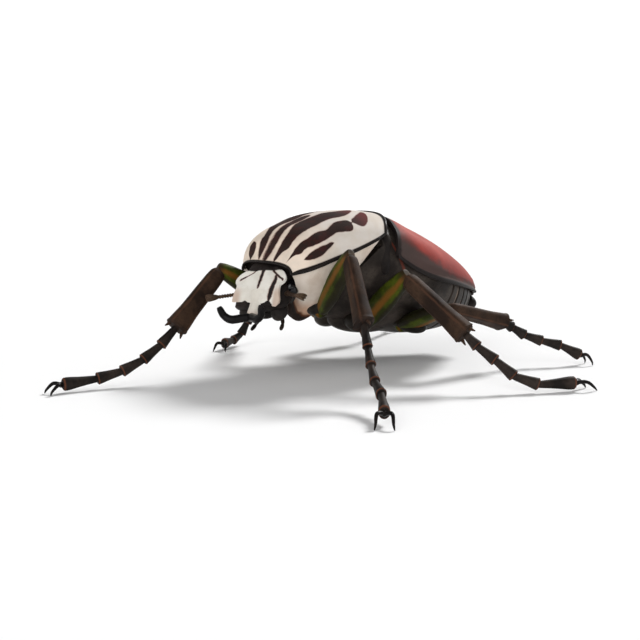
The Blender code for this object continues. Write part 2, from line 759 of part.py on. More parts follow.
def place_nodes():
    """Centres the model on the origin, over the floor, and turns millimetres into metres."""
    corners = [vert.co for piece in parts.objects for vert in piece.data.vertices]
    middle = Vector((
        (min(c.x for c in corners) + max(c.x for c in corners)) / 2,
        (min(c.y for c in corners) + max(c.y for c in corners)) / 2,
        0.0,
    ))
    for piece in parts.objects:
        piece.data.transform(Matrix.Scale(MM, 4) @ Matrix.Translation(-middle))
    print("centre", tuple(round(value, 2) for value in middle))


def build():
    legs = {name: [Vector(point) for point in points] for name, points in LEGS.items()}
    coxae = {name: make_coxa(name.split("_")[0], 1 if name.endswith("left") else -1) for name in legs}
    eyes = [make_eye(1), make_eye(-1)]
    head, head_solids = make_head(eyes)
    mouthparts = make_mouthparts(head_solids)
    fore_coxae = [coxae["fore_left"], coxae["fore_right"]]
    prothorax, breast = make_prothorax([*fore_coxae, head_solids[0], *eyes, mouthparts])
    scutellum = make_scutellum()
    elytra = [make_elytron(1, scutellum), make_elytron(-1, scutellum)]
    plates = [make_mesepimeron(side, [prothorax, *elytra]) for side in (1, -1)]
    thorax = make_thorax([*coxae.values(), *plates], breast)
    thorax = carve(thorax, [scutellum])
    abdomen = make_abdomen()
    pygidium = make_pygidium(abdomen)
    for side, word in ((1, "left"), (-1, "right")):
        horn = make_horn(side, head_solids)
        end = ANTENNA_END_LEFT if side > 0 else ANTENNA_END_RIGHT
        antenna = make_antenna(side, [*head_solids, *eyes], end)
        palp = make_palp(side, [*head_solids, mouthparts])
        finish(horn, "horn_" + word, "horn")
        finish(antenna, "antenna_" + word, "antenna")
        finish(palp, "palp_" + word, "palp")
        finish(eyes[(1 - side) // 2], "eye_" + word, "eye")
        finish(elytra[(1 - side) // 2], "elytron_" + word, "elytron")
        finish(plates[(1 - side) // 2], "mesepimeron_" + word, "mesepimeron")
    for name, points in legs.items():
        trunk = {"fore": [breast], "mid": [thorax], "hind": [thorax]}[name.split("_")[0]]
        femur, thigh = make_femur(points, coxae[name], trunk)
        tibia, shin = make_tibia(points, thigh)
        tarsus, foot = make_tarsus(points, shin)
        claws = make_claws(points, foot)
        finish(coxae[name], "coxa_" + name, "coxa")
        finish(femur, "femur_" + name, "femur")
        finish(tibia, "tibia_" + name, "tibia")
        finish(tarsus, "tarsus_" + name, "tarsus")
        finish(claws, "claws_" + name, "claws")
    finish(prothorax, "prothorax", "prothorax")
    finish(head, "head", "head")
    finish(mouthparts, "mouthparts", "mouthparts")
    finish(scutellum, "scutellum", "scutellum")
    finish(thorax, "thorax_underside", "thorax")
    finish(abdomen, "abdomen", "abdomen")
    finish(pygidium, "pygidium", "pygidium")
    for piece in list(workbench.objects):
        remove(piece)
    place_nodes()
    bpy.data.collections.remove(workbench)


build()
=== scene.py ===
# %% [markdown]
# # A goliath beetle, in pieces and finishes
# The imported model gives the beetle's body, part by part, as plain solids at their true size.
# This lesson dresses them: each part gets a finer skin on the same shape, and each kind of shell
# gets a material. The solids stay as they are, and stand in for collision.

# %% Load the plain solids
import math

import bpy
from mathutils import Matrix, Vector


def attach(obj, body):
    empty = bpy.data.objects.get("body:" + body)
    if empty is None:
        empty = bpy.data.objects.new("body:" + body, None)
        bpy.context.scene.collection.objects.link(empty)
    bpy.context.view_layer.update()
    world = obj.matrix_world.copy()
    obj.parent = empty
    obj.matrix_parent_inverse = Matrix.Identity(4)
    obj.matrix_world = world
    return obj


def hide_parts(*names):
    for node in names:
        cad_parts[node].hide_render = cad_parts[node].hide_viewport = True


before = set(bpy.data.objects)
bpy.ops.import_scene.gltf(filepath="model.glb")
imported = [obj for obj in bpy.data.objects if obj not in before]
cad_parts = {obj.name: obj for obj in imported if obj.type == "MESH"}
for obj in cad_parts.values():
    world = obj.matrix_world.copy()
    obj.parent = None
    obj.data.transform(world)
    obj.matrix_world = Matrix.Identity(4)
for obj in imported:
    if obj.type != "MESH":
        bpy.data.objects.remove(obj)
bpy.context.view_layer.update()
bpy.ops.object.select_all(action="DESELECT")

# %% [markdown]
# ## Where things are
# The beetle faces -Y and its left side is +X. Sizes are easier to think of in millimetres, measured
# from the line between the breast and the wing cases, so one helper turns such a point into the
# model's metres. The middle of the solids' box is the model's origin.

# %% Millimetres to the model
MM = 0.001
MIDDLE = Vector((7.23, -13.19, 0.0))


def on_model(point):
    return (Vector(point) - MIDDLE) * MM


print("the beetle's front line lies", round(-on_model((0, 0, 0)).y * 1000, 1), "mm ahead of the origin")

# %% [markdown]
# ## Camera
# The picture is taken from the beetle's left front, a little above it, with a lens of 50 mm. The
# camera's three axes are worked out from its two angles, so that it looks the right way and stays
# upright.

# %% Camera
AZIMUTH = math.radians(52.63)
ELEVATION = math.radians(7.27)
EYE_POINT = (190.1, -156.4, 44.0)

camera_data = bpy.data.cameras.new("camera")
camera_data.lens = 50.0
camera_data.sensor_width = 36.0
camera_data.clip_start = 0.01
camera = bpy.data.objects.new("camera", camera_data)
bpy.context.scene.collection.objects.link(camera)
behind = Vector((
    math.sin(AZIMUTH) * math.cos(ELEVATION),
    -math.cos(AZIMUTH) * math.cos(ELEVATION),
    math.sin(ELEVATION),
))
right = Vector((math.cos(AZIMUTH), math.sin(AZIMUTH), 0.0))
camera_axes = Matrix((right, behind.cross(right), behind)).transposed().to_4x4()
camera.matrix_world = Matrix.Translation(on_model(EYE_POINT)) @ camera_axes
bpy.context.scene.camera = camera
print("camera at", [round(value, 3) for value in camera.location])

# %% [markdown]
# ## Studio
# A white floor under a white surround gives the plain ground of a specimen photograph. The surround
# is white near the horizon and dimmer overhead, so that the lamp leaves clear shadows. The main
# lamp is a broad sun behind the beetle, so its shadow falls towards the camera. A weak one lights
# its left flank, and one in front lifts the face.

# %% Floor and surround
FLOOR_SIZE = 6.0
FLOOR_WHITE = 0.92
HORIZON = (0.23, 1.2)
OVERHEAD = (0.27, 0.23)

bpy.ops.mesh.primitive_plane_add(size=FLOOR_SIZE, location=(0.0, 0.0, 0.0))
floor = bpy.context.object
floor.name = "floor"
floor_finish = bpy.data.materials.new("floor_white")
floor_finish.use_nodes = True
floor_shader = floor_finish.node_tree.nodes["Principled BSDF"]
floor_shader.inputs["Base Color"].default_value = (FLOOR_WHITE, FLOOR_WHITE, FLOOR_WHITE, 1.0)
floor_shader.inputs["Roughness"].default_value = 0.9
floor_shader.inputs["Specular IOR Level"].default_value = 0.1
floor.data.materials.append(floor_finish)

world = bpy.data.worlds.new("surround")
world.use_nodes = True
backdrop = world.node_tree.nodes["Background"]
backdrop.inputs["Strength"].default_value = 1.0
direction = world.node_tree.nodes.new("ShaderNodeTexCoord")
split = world.node_tree.nodes.new("ShaderNodeSeparateXYZ")
fade = world.node_tree.nodes.new("ShaderNodeMapRange")
fade.inputs["From Min"].default_value, fade.inputs["To Min"].default_value = HORIZON
fade.inputs["From Max"].default_value, fade.inputs["To Max"].default_value = OVERHEAD
world.node_tree.links.new(direction.outputs["Generated"], split.inputs[0])
world.node_tree.links.new(split.outputs["Z"], fade.inputs["Value"])
world.node_tree.links.new(fade.outputs["Result"], backdrop.inputs["Color"])
bpy.context.scene.world = world
bpy.context.scene.view_settings.view_transform = "Standard"
print("floor", round(floor.dimensions.x, 2), "m wide")

# %% Lamps
LAMPS = (
    # place, in millimetres, seen from the beetle, breadth in degrees, and strength
    ("lamp_behind", (-120.0, 415.0, 390.0), 15.0, 3.0),
    ("lamp_side", (240.0, 320.0, 400.0), 34.0, 0.15),
    ("lamp_front", (200.0, -420.0, 280.0), 40.0, 1.05),
)


def hang_lamp(name, place, breadth, strength):
    lamp_data = bpy.data.lights.new(name, "SUN")
    lamp_data.angle = math.radians(breadth)
    lamp_data.energy = strength
    lamp = bpy.data.objects.new(name, lamp_data)
    bpy.context.scene.collection.objects.link(lamp)
    lamp.location = on_model(place)
    lamp.rotation_euler = (on_model((0, 0, 20)) - lamp.location).to_track_quat("-Z", "Y").to_euler()
    return lamp


for name, place, breadth, strength in LAMPS:
    hang_lamp(name, place, breadth, strength)
print("lamps:", len(LAMPS))

# %% [markdown]
# ## Values in a material
# A shell finish is a colour with its variation, a sheen and a fine relief, and nodes work out each
# of them. Joining dozens of nodes by hand is slow to read, so a node's output is wrapped in a small
# class, and Python's own signs then add the Math nodes: `1 - mask * 0.5` is two nodes.

# %% Values in a material
class Value:
    """An output of a node. A sum with it adds the Math node that works it out."""

    def __init__(self, socket):
        self.socket = socket
        self.tree = socket.id_data

    def math(self, operation, other=0.0, swapped=False):
        first, second = (other, self) if swapped else (self, other)
        return add(self.tree, "Math", 0, {"operation": operation}, i0=first, i1=second)

    def __add__(self, other):
        return self.math("ADD", other)

    def __sub__(self, other):
        return self.math("SUBTRACT", other)

    def __rsub__(self, other):
        return self.math("SUBTRACT", other, swapped=True)

    def __mul__(self, other):
        return self.math("MULTIPLY", other)

    def __abs__(self):
        return self.math("ABSOLUTE")

    __radd__ = __add__
    __rmul__ = __mul__


def add(tree, kind, output, settings=(), **inputs):
    """Adds a node and gives one of its outputs; an input takes a Value or a plain setting."""
    item = tree.nodes.new("ShaderNode" + kind)
    for key, value in dict(settings).items():
        setattr(item, key, value)
    for key, value in inputs.items():
        socket = item.inputs[int(key[1:])] if key[1:].isdigit() else item.inputs[key.replace("_", " ")]
        if isinstance(value, Value):
            tree.links.new(value.socket, socket)
        else:
            socket.default_value = value
    return Value(item.outputs[output])


def feed(shader, name, value):
    value.tree.links.new(value.socket, shader.inputs[name])


def largest(first, *others):
    for other in others:
        first = first.math("MAXIMUM", other)
    return first


def blend(mask, first, second):
    """The first colour where the mask is 0, and the second where it is 1."""
    return add(mask.tree, "Mix", 2, {"data_type": "RGBA"}, i0=mask, i6=first, i7=second)


def ramp(value, low, high):
    """0 below low, 1 above high, and smooth between."""
    smooth = {"interpolation_type": "SMOOTHSTEP"}
    return add(value.tree, "MapRange", "Result", smooth, Value=value, From_Min=low, From_Max=high)


print("values ready")

# %% [markdown]
# ## Patterns to start from
# Markings follow one of three things: the piece's own flat map, the place on the beetle in
# millimetres, or a noise that is fixed to the beetle's space, so that none of them slides.

# %% Patterns to start from
def parts(value):
    split_up = add(value.tree, "SeparateXYZ", 0, Vector=value).socket.node
    return [Value(socket) for socket in split_up.outputs]


def flat_map(tree):
    """How far across and along its own grid a point of the skin is, from 0 to 1."""
    return parts(add(tree, "UVMap", 0, {"uv_map": "UVMap"}))[:2]


def beetle_place(tree):
    """How far back and how high a point is, in millimetres."""
    _, back, height = parts(add(tree, "TexCoord", "Object"))
    return back * 1000.0 + MIDDLE.y, height * 1000.0


def grain(tree, scale, detail=4.0, roughness=0.55):
    place = add(tree, "TexCoord", "Object")
    return add(tree, "TexNoise", "Fac", Vector=place, Scale=scale, Detail=detail, Roughness=roughness)


def wander(tree, scale, spread, detail=4.0, roughness=0.55):
    """A noise around 0, which makes an edge uneven by about half its spread."""
    return (grain(tree, scale, detail, roughness) - 0.5) * spread


def pits(tree, scale):
    """Distance to the middle of the nearest of many scattered dots."""
    return add(tree, "TexVoronoi", "Distance", Vector=add(tree, "TexCoord", "Object"), Scale=scale)


def new_finish(name, roughness, specular):
    material = bpy.data.materials.new(name)
    material.use_nodes = True
    shader = material.node_tree.nodes["Principled BSDF"]
    shader.inputs["Roughness"].default_value = roughness
    shader.inputs["Specular IOR Level"].default_value = specular
    return material, material.node_tree, shader


def relief(shader, height, strength, distance=0.0002):
    feed(shader, "Normal", add(height.tree, "Bump", 0, Height=height, Strength=strength, Distance=distance))


def colour(red, green, blue):
    """A screen colour from 0 to 255, turned into the light values that a shader takes."""
    def light(value):
        share = value / 255
        return share / 12.92 if share <= 0.04045 else ((share + 0.055) / 1.055) ** 2.4

    return (light(red), light(green), light(blue), 1.0)


print("patterns ready")

# %% [markdown]
# ## Shaping a skin
# Shell plates and legs are all curved skins. A grid is added with the right number of squares, and
# each of its points is moved to its place by a rule, given how far across and along the grid it is.
# The grid keeps its flat map, so markings can follow the skin. A skin that wraps round a limb has
# its seam and its ends merged, which closes it.

# %% Skins from a grid
SKIN = "_skin"


def only(piece):
    bpy.ops.object.select_all(action="DESELECT")
    piece.select_set(True)
    bpy.context.view_layer.objects.active = piece
    return piece


def skin(name, across, along, place, wrap=False):
    """A grid whose points go to place(u, v), in millimetres, with u and v from 0 to 1."""
    bpy.ops.mesh.primitive_grid_add(x_subdivisions=across, y_subdivisions=along, size=1.0)
    piece = only(bpy.context.object)
    piece.name = name + SKIN
    for vert in piece.data.vertices:
        vert.co = on_model(place(vert.co.x + 0.5, vert.co.y + 0.5))
    bpy.ops.object.mode_set(mode="EDIT")
    bpy.ops.mesh.select_all(action="SELECT")
    if wrap:
        bpy.ops.mesh.remove_doubles(threshold=0.00001)
    bpy.ops.mesh.normals_make_consistent(inside=False)
    bpy.ops.object.mode_set(mode="OBJECT")
    return piece


def turn_outwards(piece, away_from):
    """Turns an open skin's faces to look away from a point inside the body."""
    inside = on_model(away_from)
    facing = sum((face.center - inside).dot(face.normal) for face in piece.data.polygons)
    if facing < 0:
        only(piece)
        piece.data.flip_normals()
    return piece


def thicken(piece, thickness):
    """Gives an open skin a wall, inwards from its outer face."""
    only(piece)
    wall = piece.modifiers.new("wall", "SOLIDIFY")
    wall.thickness = thickness * MM
    wall.offset = -1.0
    bpy.ops.object.modifier_apply(modifier="wall")
    return piece


def joined(pieces, name):
    bpy.ops.object.select_all(action="DESELECT")
    for piece in pieces:
        piece.select_set(True)
    bpy.context.view_layer.objects.active = pieces[0]
    bpy.ops.object.join()
    pieces[0].name = name + SKIN
    return pieces[0]


def settle(piece, finish, slot):
    """Gives a finished piece its material; a skin named after a solid stands for that solid."""
    only(piece)
    piece.data.materials.clear()
    piece.data.materials.append(finish)
    bpy.ops.object.shade_smooth_by_angle(angle=math.radians(38.0))
    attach(piece, "root")
    solid = piece.name.removesuffix(SKIN)
    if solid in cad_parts:
        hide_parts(solid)
    return piece


# %% Curves through sizes
def through(keys, column, at):
    """Smooth curve through one column of a table whose first column is the distance back."""
    last = len(keys) - 1
    at = min(max(at, keys[0][0]), keys[last][0])
    i = max(k for k in range(last) if keys[k][0] <= at)

    def slope(k):
        before, after = max(k - 1, 0), min(k + 1, last)
        return (keys[after][column] - keys[before][column]) / (keys[after][0] - keys[before][0])

    span = keys[i + 1][0] - keys[i][0]
    t = (at - keys[i][0]) / span
    return (
        (2 * t**3 - 3 * t**2 + 1) * keys[i][column]
        + (t**3 - 2 * t**2 + t) * span * slope(i)
        + (3 * t**2 - 2 * t**3) * keys[i + 1][column]
        + (t**3 - t**2) * span * slope(i + 1)
    )


def power(value, exponent):
    return math.copysign(abs(value) ** exponent, value)


def hump(value, centre, half_width):
    """A smooth rise to 1 at the centre that is 0 past the half width."""
    share = (value - centre) / half_width
    return (1 - share * share) ** 2 if abs(share) < 1 else 0.0


def tube_along(name, route, radii, sides=16, flat=1.0, up=Vector((0, 0, 1))):
    """A round skin along a route of points in millimetres, with a radius at each."""
    count = len(route) - 1
    tangents = [
        (route[min(i + 1, count)] - route[max(i - 1, 0)]).normalized() for i in range(count + 1)
    ]

    def place(u, v):
        spot = v * (count + 2) - 1
        i = min(max(round(spot), 0), count)
        radius = radii[i] if 0 <= round(spot) <= count else 0.0
        side = tangents[i].cross(up).normalized()
        lift = side.cross(tangents[i])
        angle = 2 * math.pi * u
        return route[i] + radius * (side * math.cos(angle) + lift * math.sin(angle) * flat)

    return skin(name, sides, count + 2, place, wrap=True)


print("shaping helpers ready")

# %% [markdown]
# ## The pronotum
# The shield behind the head is one domed plate, widest near its hind corners, with a dark raised
# border. Its cross-section is a rounded arch, so its points follow a superellipse whose width,
# height and fullness change from front to back. Below the border the side folds under as the cream
# cheek plate, and narrows down to the breast between the fore legs.

# %% Pronotum and breast shapes
# Each row: how far back, half width, height of the margin, rise above it, drop below it, fullness.
PRONOTUM = (
    (-28.6, 11.2, 27.3, 3.4, 8.6, 3.1),
    (-27.6, 12.7, 27.7, 6.1, 10.6, 3.0),
    (-26.0, 14.4, 28.3, 8.0, 12.6, 2.8),
    (-23.0, 16.0, 29.5, 9.2, 14.4, 2.55),
    (-20.0, 17.1, 30.8, 9.2, 16.6, 2.4),
    (-14.0, 19.3, 33.3, 9.0, 19.5, 2.3),
    (-8.0, 19.9, 35.8, 7.3, 22.0, 2.3),
    (-4.8, 19.2, 37.2, 5.4, 22.9, 2.3),
)
PRONOTUM_FRONT = PRONOTUM[0][0]
PRONOTUM_REAR = PRONOTUM[-1][0]
PRONOTUM_LOBE = 6.8
LOBE_POWER = 2.4
FRONT_LIP = 0.6
FRONT_LIP_SHARE = 0.05
PLATE_THICKNESS = 0.8
ROW_POWER = 1.5
BREAST_SET_BACK = 7.5
BREAST_SLANT = 12.5
BREAST_SLANT_POWER = 0.75
BREAST_FULLNESS = 1.4


def pronotum_point(share, angle, lift=0.0):
    """Point of the domed plate: share back from its front, angle out from its middle line."""
    back = PRONOTUM_FRONT + (PRONOTUM_REAR - PRONOTUM_FRONT) * share
    half_width, margin, rise, _, fullness = (through(PRONOTUM, column, back) for column in range(1, 6))
    across = power(math.sin(angle), 2 / fullness)
    height = power(max(math.cos(angle), 0.0), 2 / fullness)
    lobe = PRONOTUM_LOBE * share**3 - FRONT_LIP * max(0.0, 1 - share / 0.04)
    lip = max(0.0, 1 - share / FRONT_LIP_SHARE) ** 1.5 * height
    point = Vector((
        half_width * across,
        back + lobe * (1 - abs(across) ** LOBE_POWER) - 0.35 * lip,
        margin + rise * height - 0.8 * lip,
    ))
    outwards = Vector((across / half_width, 0.0, max(height, 0.0) / rise))
    return point + lift * outwards.normalized() if outwards.length > 0 else point


def breast_point(share, angle):
    back = PRONOTUM_FRONT + (PRONOTUM_REAR - PRONOTUM_FRONT) * share
    half_width, margin, _, depth, _ = (through(PRONOTUM, column, back) for column in range(1, 6))
    across = power(math.cos(angle), 2 / BREAST_FULLNESS)
    drop = power(math.sin(angle), 2 / BREAST_FULLNESS)
    front = PRONOTUM_FRONT + BREAST_SET_BACK * drop
    rear = PRONOTUM_REAR - BREAST_SLANT * drop**BREAST_SLANT_POWER
    return Vector((half_width * across, front + (rear - front) * share, margin - depth * drop))


pronotum = skin("prothorax", 150, 120, lambda u, v: pronotum_point(v**ROW_POWER, (u - 0.5) * math.pi))
turn_outwards(pronotum, (0, -15, 25))
thicken(pronotum, PLATE_THICKNESS)
breast = skin("breast", 110, 60, lambda u, v: breast_point(v, u * math.pi))
turn_outwards(breast, (0, -17, 27))
thicken(breast, PLATE_THICKNESS)
print("pronotum", len(pronotum.data.polygons), "faces, breast", len(breast.data.polygons))

# %% Border of the pronotum
BORDER_RADIUS = 0.38
BORDER_STEPS = 60
BORDER_CORNER = 4


def border_route():
    """Once round the plate: left side to the rear, along the hind edge, and back up the right side."""
    steps = BORDER_STEPS
    edge = math.pi / 2
    left = [pronotum_point(i / steps, edge) for i in range(steps)]
    hind = [pronotum_point(1.0, edge * (1 - 2 * i / steps)) for i in range(steps)]
    right = [pronotum_point(1 - i / steps, -edge) for i in range(steps)]
    front = [pronotum_point(0.0, edge * (2 * i / steps - 1)) for i in range(steps + 1)]
    return left + hind + right + front


def border_radius(i):
    """Full at the sides and behind, and thin along the front edge, over the head."""
    along_front = i - 3 * BORDER_STEPS
    if along_front < 0:
        return BORDER_RADIUS
    thin = BORDER_CORNER <= along_front <= BORDER_STEPS - BORDER_CORNER
    return BORDER_RADIUS * (0.6 if thin else 0.85)


route = border_route()
radii = [border_radius(i) for i in range(len(route))]
border = tube_along("pronotum_border", route, radii, sides=10)
print("border", round(sum((b - a).length for a, b in zip(route, route[1:])), 1), "mm long")

# %% Front wall behind the head
def front_wall_point(u, v):
    """Dark skin from the plate's front edge down to the breast's front edge, set in a little."""
    angle = (u - 0.5) * math.pi
    top = pronotum_point(0.01, angle)
    low_angle = math.pi * (1 - u)
    low = breast_point(0.03, low_angle)
    inwards = Vector((0.0, 0.6, 0.0))
    return top.lerp(low, v) + inwards


front_wall = skin("front_wall", 60, 24, front_wall_point)
turn_outwards(front_wall, (0, -10, 25))
print("front wall", len(front_wall.data.polygons), "faces")

# %% [markdown]
# ## Cream shell with dark stripes
# The real shell is covered in a short, matt, cream velvet, and the stripes are bare dark shell with
# rusty edges. Each stripe is drawn by two curves along the plate: where its middle lies, and how
# wide it is. A soft step between the two colours and a fine noise give the uneven, living edge.

# %% Stripes of the pronotum
INNER_REAR = ((0.46, 15.5), (0.6, 16.5), (0.68, 17.5), (0.76, 15.0), (0.86, 8.0))
INNER_REAR_HALF = (
    (0.46, 10.6), (0.54, 10.2), (0.62, 11.6), (0.68, 10.4), (0.76, 7.0), (0.84, 2.4), (0.87, -2.0),
)
OUTER_REAR = ((0.6, 49.0), (0.66, 46.0), (0.71, 48.0), (0.77, 44.0), (0.85, 30.0), (0.88, 22.0))
OUTER_REAR_HALF = (
    (0.53, 10.8), (0.6, 10.8), (0.632, 6.0), (0.646, 0.6), (0.66, 3.0), (0.69, 8.2), (0.75, 12.4),
    (0.785, 12.0), (0.82, 9.4), (0.85, 5.6), (0.87, -2.0),
)
LENS = ((0.0, 75.0), (0.1, 75.0), (0.18, 74.0), (0.24, 73.0), (0.3, 71.0), (0.36, 68.5), (0.4, 68.0))
LENS_HALF = (
    (0.08, -2.0), (0.09, 0.6), (0.12, 3.8), (0.17, 6.0), (0.22, 6.6), (0.27, 6.0), (0.31, 4.2),
    (0.36, 2.8), (0.385, 0.8), (0.395, -2.0),
)


def mirrored(points):
    return tuple((at, -value) for at, value in points)


# Middle and half width in degrees to the left of the middle line, at shares back from the front.
STRIPES = {
    "middle": (
        ((0.0, 0.0), (0.06, 2.4), (0.12, 2.0), (0.25, 0.4), (1.0, 0.0)),
        ((0.0, -1.0), (0.01, 1.4), (0.06, 2.8), (0.12, 2.7), (0.24, 2.8), (0.36, 3.6), (0.46, 3.6),
         (0.53, 1.8), (0.56, -2.0)),
    ),
    "inner_left": (
        ((0.0, 13.0), (0.03, 17.0), (0.05, 21.0), (0.1, 20.5), (0.23, 18.0), (0.34, 16.0)) + INNER_REAR,
        ((0.0, -2.0), (0.01, 2.6), (0.03, 5.0), (0.05, 8.6), (0.1, 8.4), (0.15, 8.4), (0.23, 10.0),
         (0.34, 11.5)) + INNER_REAR_HALF,
    ),
    "inner_right": (
        ((0.0, -5.0), (0.03, -7.0), (0.08, -8.5), (0.13, -9.4), (0.19, -12.0), (0.3, -16.0))
        + mirrored(INNER_REAR),
        ((0.0, -2.0), (0.01, 1.2), (0.03, 3.8), (0.08, 5.4), (0.12, 4.2), (0.19, 5.2), (0.3, 9.0))
        + INNER_REAR_HALF,
    ),
    "outer_left": (
        ((0.0, 42.0), (0.044, 50.0), (0.08, 52.0), (0.12, 50.0), (0.2, 51.5), (0.32, 50.0), (0.4, 49.5),
         (0.46, 47.0), (0.53, 47.0)) + OUTER_REAR,
        ((0.0, -2.0), (0.016, 0.6), (0.044, 4.4), (0.08, 8.8), (0.12, 7.8), (0.2, 8.6), (0.27, 9.6),
         (0.33, 9.0), (0.4, 6.8), (0.46, 7.6)) + OUTER_REAR_HALF,
    ),
    "outer_right": (
        ((0.0, -26.0), (0.05, -30.0), (0.08, -31.0), (0.13, -44.0), (0.2, -49.0), (0.32, -50.0),
         (0.46, -47.0)) + mirrored(OUTER_REAR),
        ((0.0, -2.0), (0.01, 3.0), (0.03, 9.4), (0.055, 8.6), (0.08, 3.0), (0.1, -2.0), (0.13, -1.0),
         (0.16, 5.0), (0.27, 9.6), (0.4, 6.8)) + OUTER_REAR_HALF,
    ),
    "lens_left": (LENS, LENS_HALF),
    "lens_right": (mirrored(LENS), LENS_HALF),
}
print("stripes:", ", ".join(STRIPES))

# %% Lines from curves
def curve_of(value, points):
    """A smooth curve through points, whose heights are kept between 0 and 1 inside the node."""
    curve = add(value.tree, "FloatCurve", 0, i1=value)
    mapping = curve.socket.node.mapping
    line = mapping.curves[0]
    line.points[0].location = points[0]
    line.points[1].location = points[-1]
    for point in points[1:-1]:
        line.points.new(*point)
    mapping.use_clip = False
    mapping.update()
    return curve


def depth_in_lines(lines, across, share, reach, slack, span=1.0):
    """How far inside the nearest line a point is. Sizes up to reach are scaled to fit the curves."""
    depths = []
    for middle, half_width in lines.values():
        centre = curve_of(share, [(at / span, (size + reach) / (2 * reach)) for at, size in middle])
        half = curve_of(share, [(at / span, (size + slack) / reach) for at, size in half_width])
        depths.append(half * reach - slack - abs(across - (centre * (2 * reach) - reach)))
    return largest(*depths)


print("line rule ready")

# %% Pronotum finish
def striped_finish():
    material, tree, shader = new_finish("cream_shell_striped", 0.7, 0.08)
    around, along = flat_map(tree)
    share = along.math("POWER", ROW_POWER)
    degrees = (around - 0.5) * 180.0
    inside = depth_in_lines(STRIPES, degrees + wander(tree, 900.0, 2.2, 5.0), share, 90.0, 2.0)
    dark, halo = ramp(inside, -0.7, 0.7), ramp(inside, -2.2, 2.2)
    warm = blend(ramp(share, 0.1, 0.5), colour(236, 219, 202), colour(218, 210, 202))
    cream = blend(ramp(grain(tree, 260.0), 0.35, 0.7) * 0.6, warm, colour(208, 196, 181))
    rusty = ramp(grain(tree, 420.0), 0.45, 0.62) * 0.14
    rear = ramp(share, 0.62, 0.86) * 0.85
    stripe = blend(largest(rusty, rear), colour(46, 33, 30), colour(100, 34, 32))
    base = blend(dark, blend(halo, cream, colour(150, 96, 78)), stripe)
    rim = largest(ramp(abs(degrees), 86.5, 88.0), ramp(share, 0.965, 0.985), ramp(0.006 - share, 0.0, 0.003))
    feed(shader, "Base Color", blend(rim, base, colour(30, 25, 23)))
    feed(shader, "Roughness", 0.78 - dark * 0.1)
    relief(shader, grain(tree, 5200.0, 2.0) * 0.5 + ramp(pits(tree, 1500.0), 0.0, 0.35) * 0.5, 0.28)
    return material


settle(pronotum, striped_finish(), "cream_shell")
print("pronotum finished")

# %% [markdown]
# ## The hind body
# The two wing cases roof the hind body like a boat upside down. Their outer face is one shape, the
# hull, whose width, margin and height change from front to back and close at the tail. The wing
# cases, the shield between them and the body below them all take their points from it.

# %% The hull
# Each row: how far back, half width, height of the margin, rise above it.
HULL = (
    (-5.0, 19.2, 34.2, 8.4),
    (0.0, 20.2, 30.2, 12.5),
    (5.0, 21.2, 27.0, 15.2),
    (12.0, 21.5, 24.5, 14.8),
    (20.0, 21.5, 22.8, 13.8),
    (30.0, 21.5, 20.8, 12.8),
    (48.0, 21.5, 17.2, 12.2),
)
CLOSE_FROM = 12.0
TAIL = 46.7
CLOSING_POWER = 1.7
WIDTH_CLOSING = 0.72
RISE_CLOSING = 0.6
BACK_POWER = 2.1


def hull_point(back, angle, lift=0.0):
    """Point of the wing cases' outer face, lifted off it along its outward direction."""
    share = max(0.0, back - CLOSE_FROM) / (TAIL - CLOSE_FROM)
    left = max(0.0, 1.0 - share**CLOSING_POWER)
    half_width = through(HULL, 1, back) * left**WIDTH_CLOSING
    rise = through(HULL, 3, back) * left**RISE_CLOSING
    point = Vector((
        half_width * power(math.sin(angle), 2 / BACK_POWER),
        back,
        through(HULL, 2, back) + rise * power(max(math.cos(angle), 0.0), 2 / BACK_POWER),
    ))
    if lift:
        near, far = min(angle, math.pi / 2 - 0.02), min(back, TAIL - 0.4)
        along = hull_point(far + 0.2, near) - hull_point(far - 0.2, near)
        across = hull_point(far, near + 0.02) - hull_point(far, near - 0.02)
        point += lift * across.cross(along).normalized()
    return point


print("hull height at y = 5:", round(hull_point(5.0, 0.0).z, 1), "mm")

# %% [markdown]
# ## Wing cases
# Each is a thin hard shell: a grid on the hull, thickened inwards. On the real beetle the
# shoulder and the end of each case have a low knob, and the outer margin and the seam between the
# cases are slightly raised, so those lifts are added to the rule that places the points.

# %% Wing cases
ELYTRON_BASE = -1.0
ELYTRON_BOW = 7.0
ELYTRON_END = 46.4
SEAM_HALF = 0.13
CASE_THICKNESS = 1.0


def elytron_lift(degrees, share):
    """Height of the shell's own relief over the hull, in millimetres."""
    shoulder = 0.7 * hump(degrees, 58.0, 17.0) * hump(share, 0.1, 0.16)
    hind_knob = 0.55 * hump(degrees, 48.0, 16.0) * hump(share, 0.8, 0.14)
    seam = 0.16 * hump(degrees, 2.0, 5.0)
    rim = 0.2 * hump(degrees, 88.5, 4.5)
    gutter = -0.22 * hump(degrees, 82.5, 5.0)
    rib = 0.07 * hump(degrees, 24.0, 6.0) * hump(share, 0.5, 0.45)
    return shoulder + hind_knob + seam + rim + gutter + rib


def elytron_point(side, u, v):
    angle = u * math.pi / 2
    base = ELYTRON_BASE + ELYTRON_BOW * (1 - math.sin(angle) ** 1.6)
    back = base + (ELYTRON_END - base) * (1 - (1 - v) ** 1.5)
    point = hull_point(back, angle, elytron_lift(u * 90.0, v))
    return Vector((side * max(point.x, SEAM_HALF), point.y, point.z))


elytra = []
for side, word in ((1, "left"), (-1, "right")):
    case = skin("elytron_" + word, 110, 120, lambda u, v: elytron_point(side, u, v))
    turn_outwards(case, (0, 18, 22))
    elytra.append(thicken(case, CASE_THICKNESS))
print("wing cases:", [len(case.data.polygons) for case in elytra], "faces")

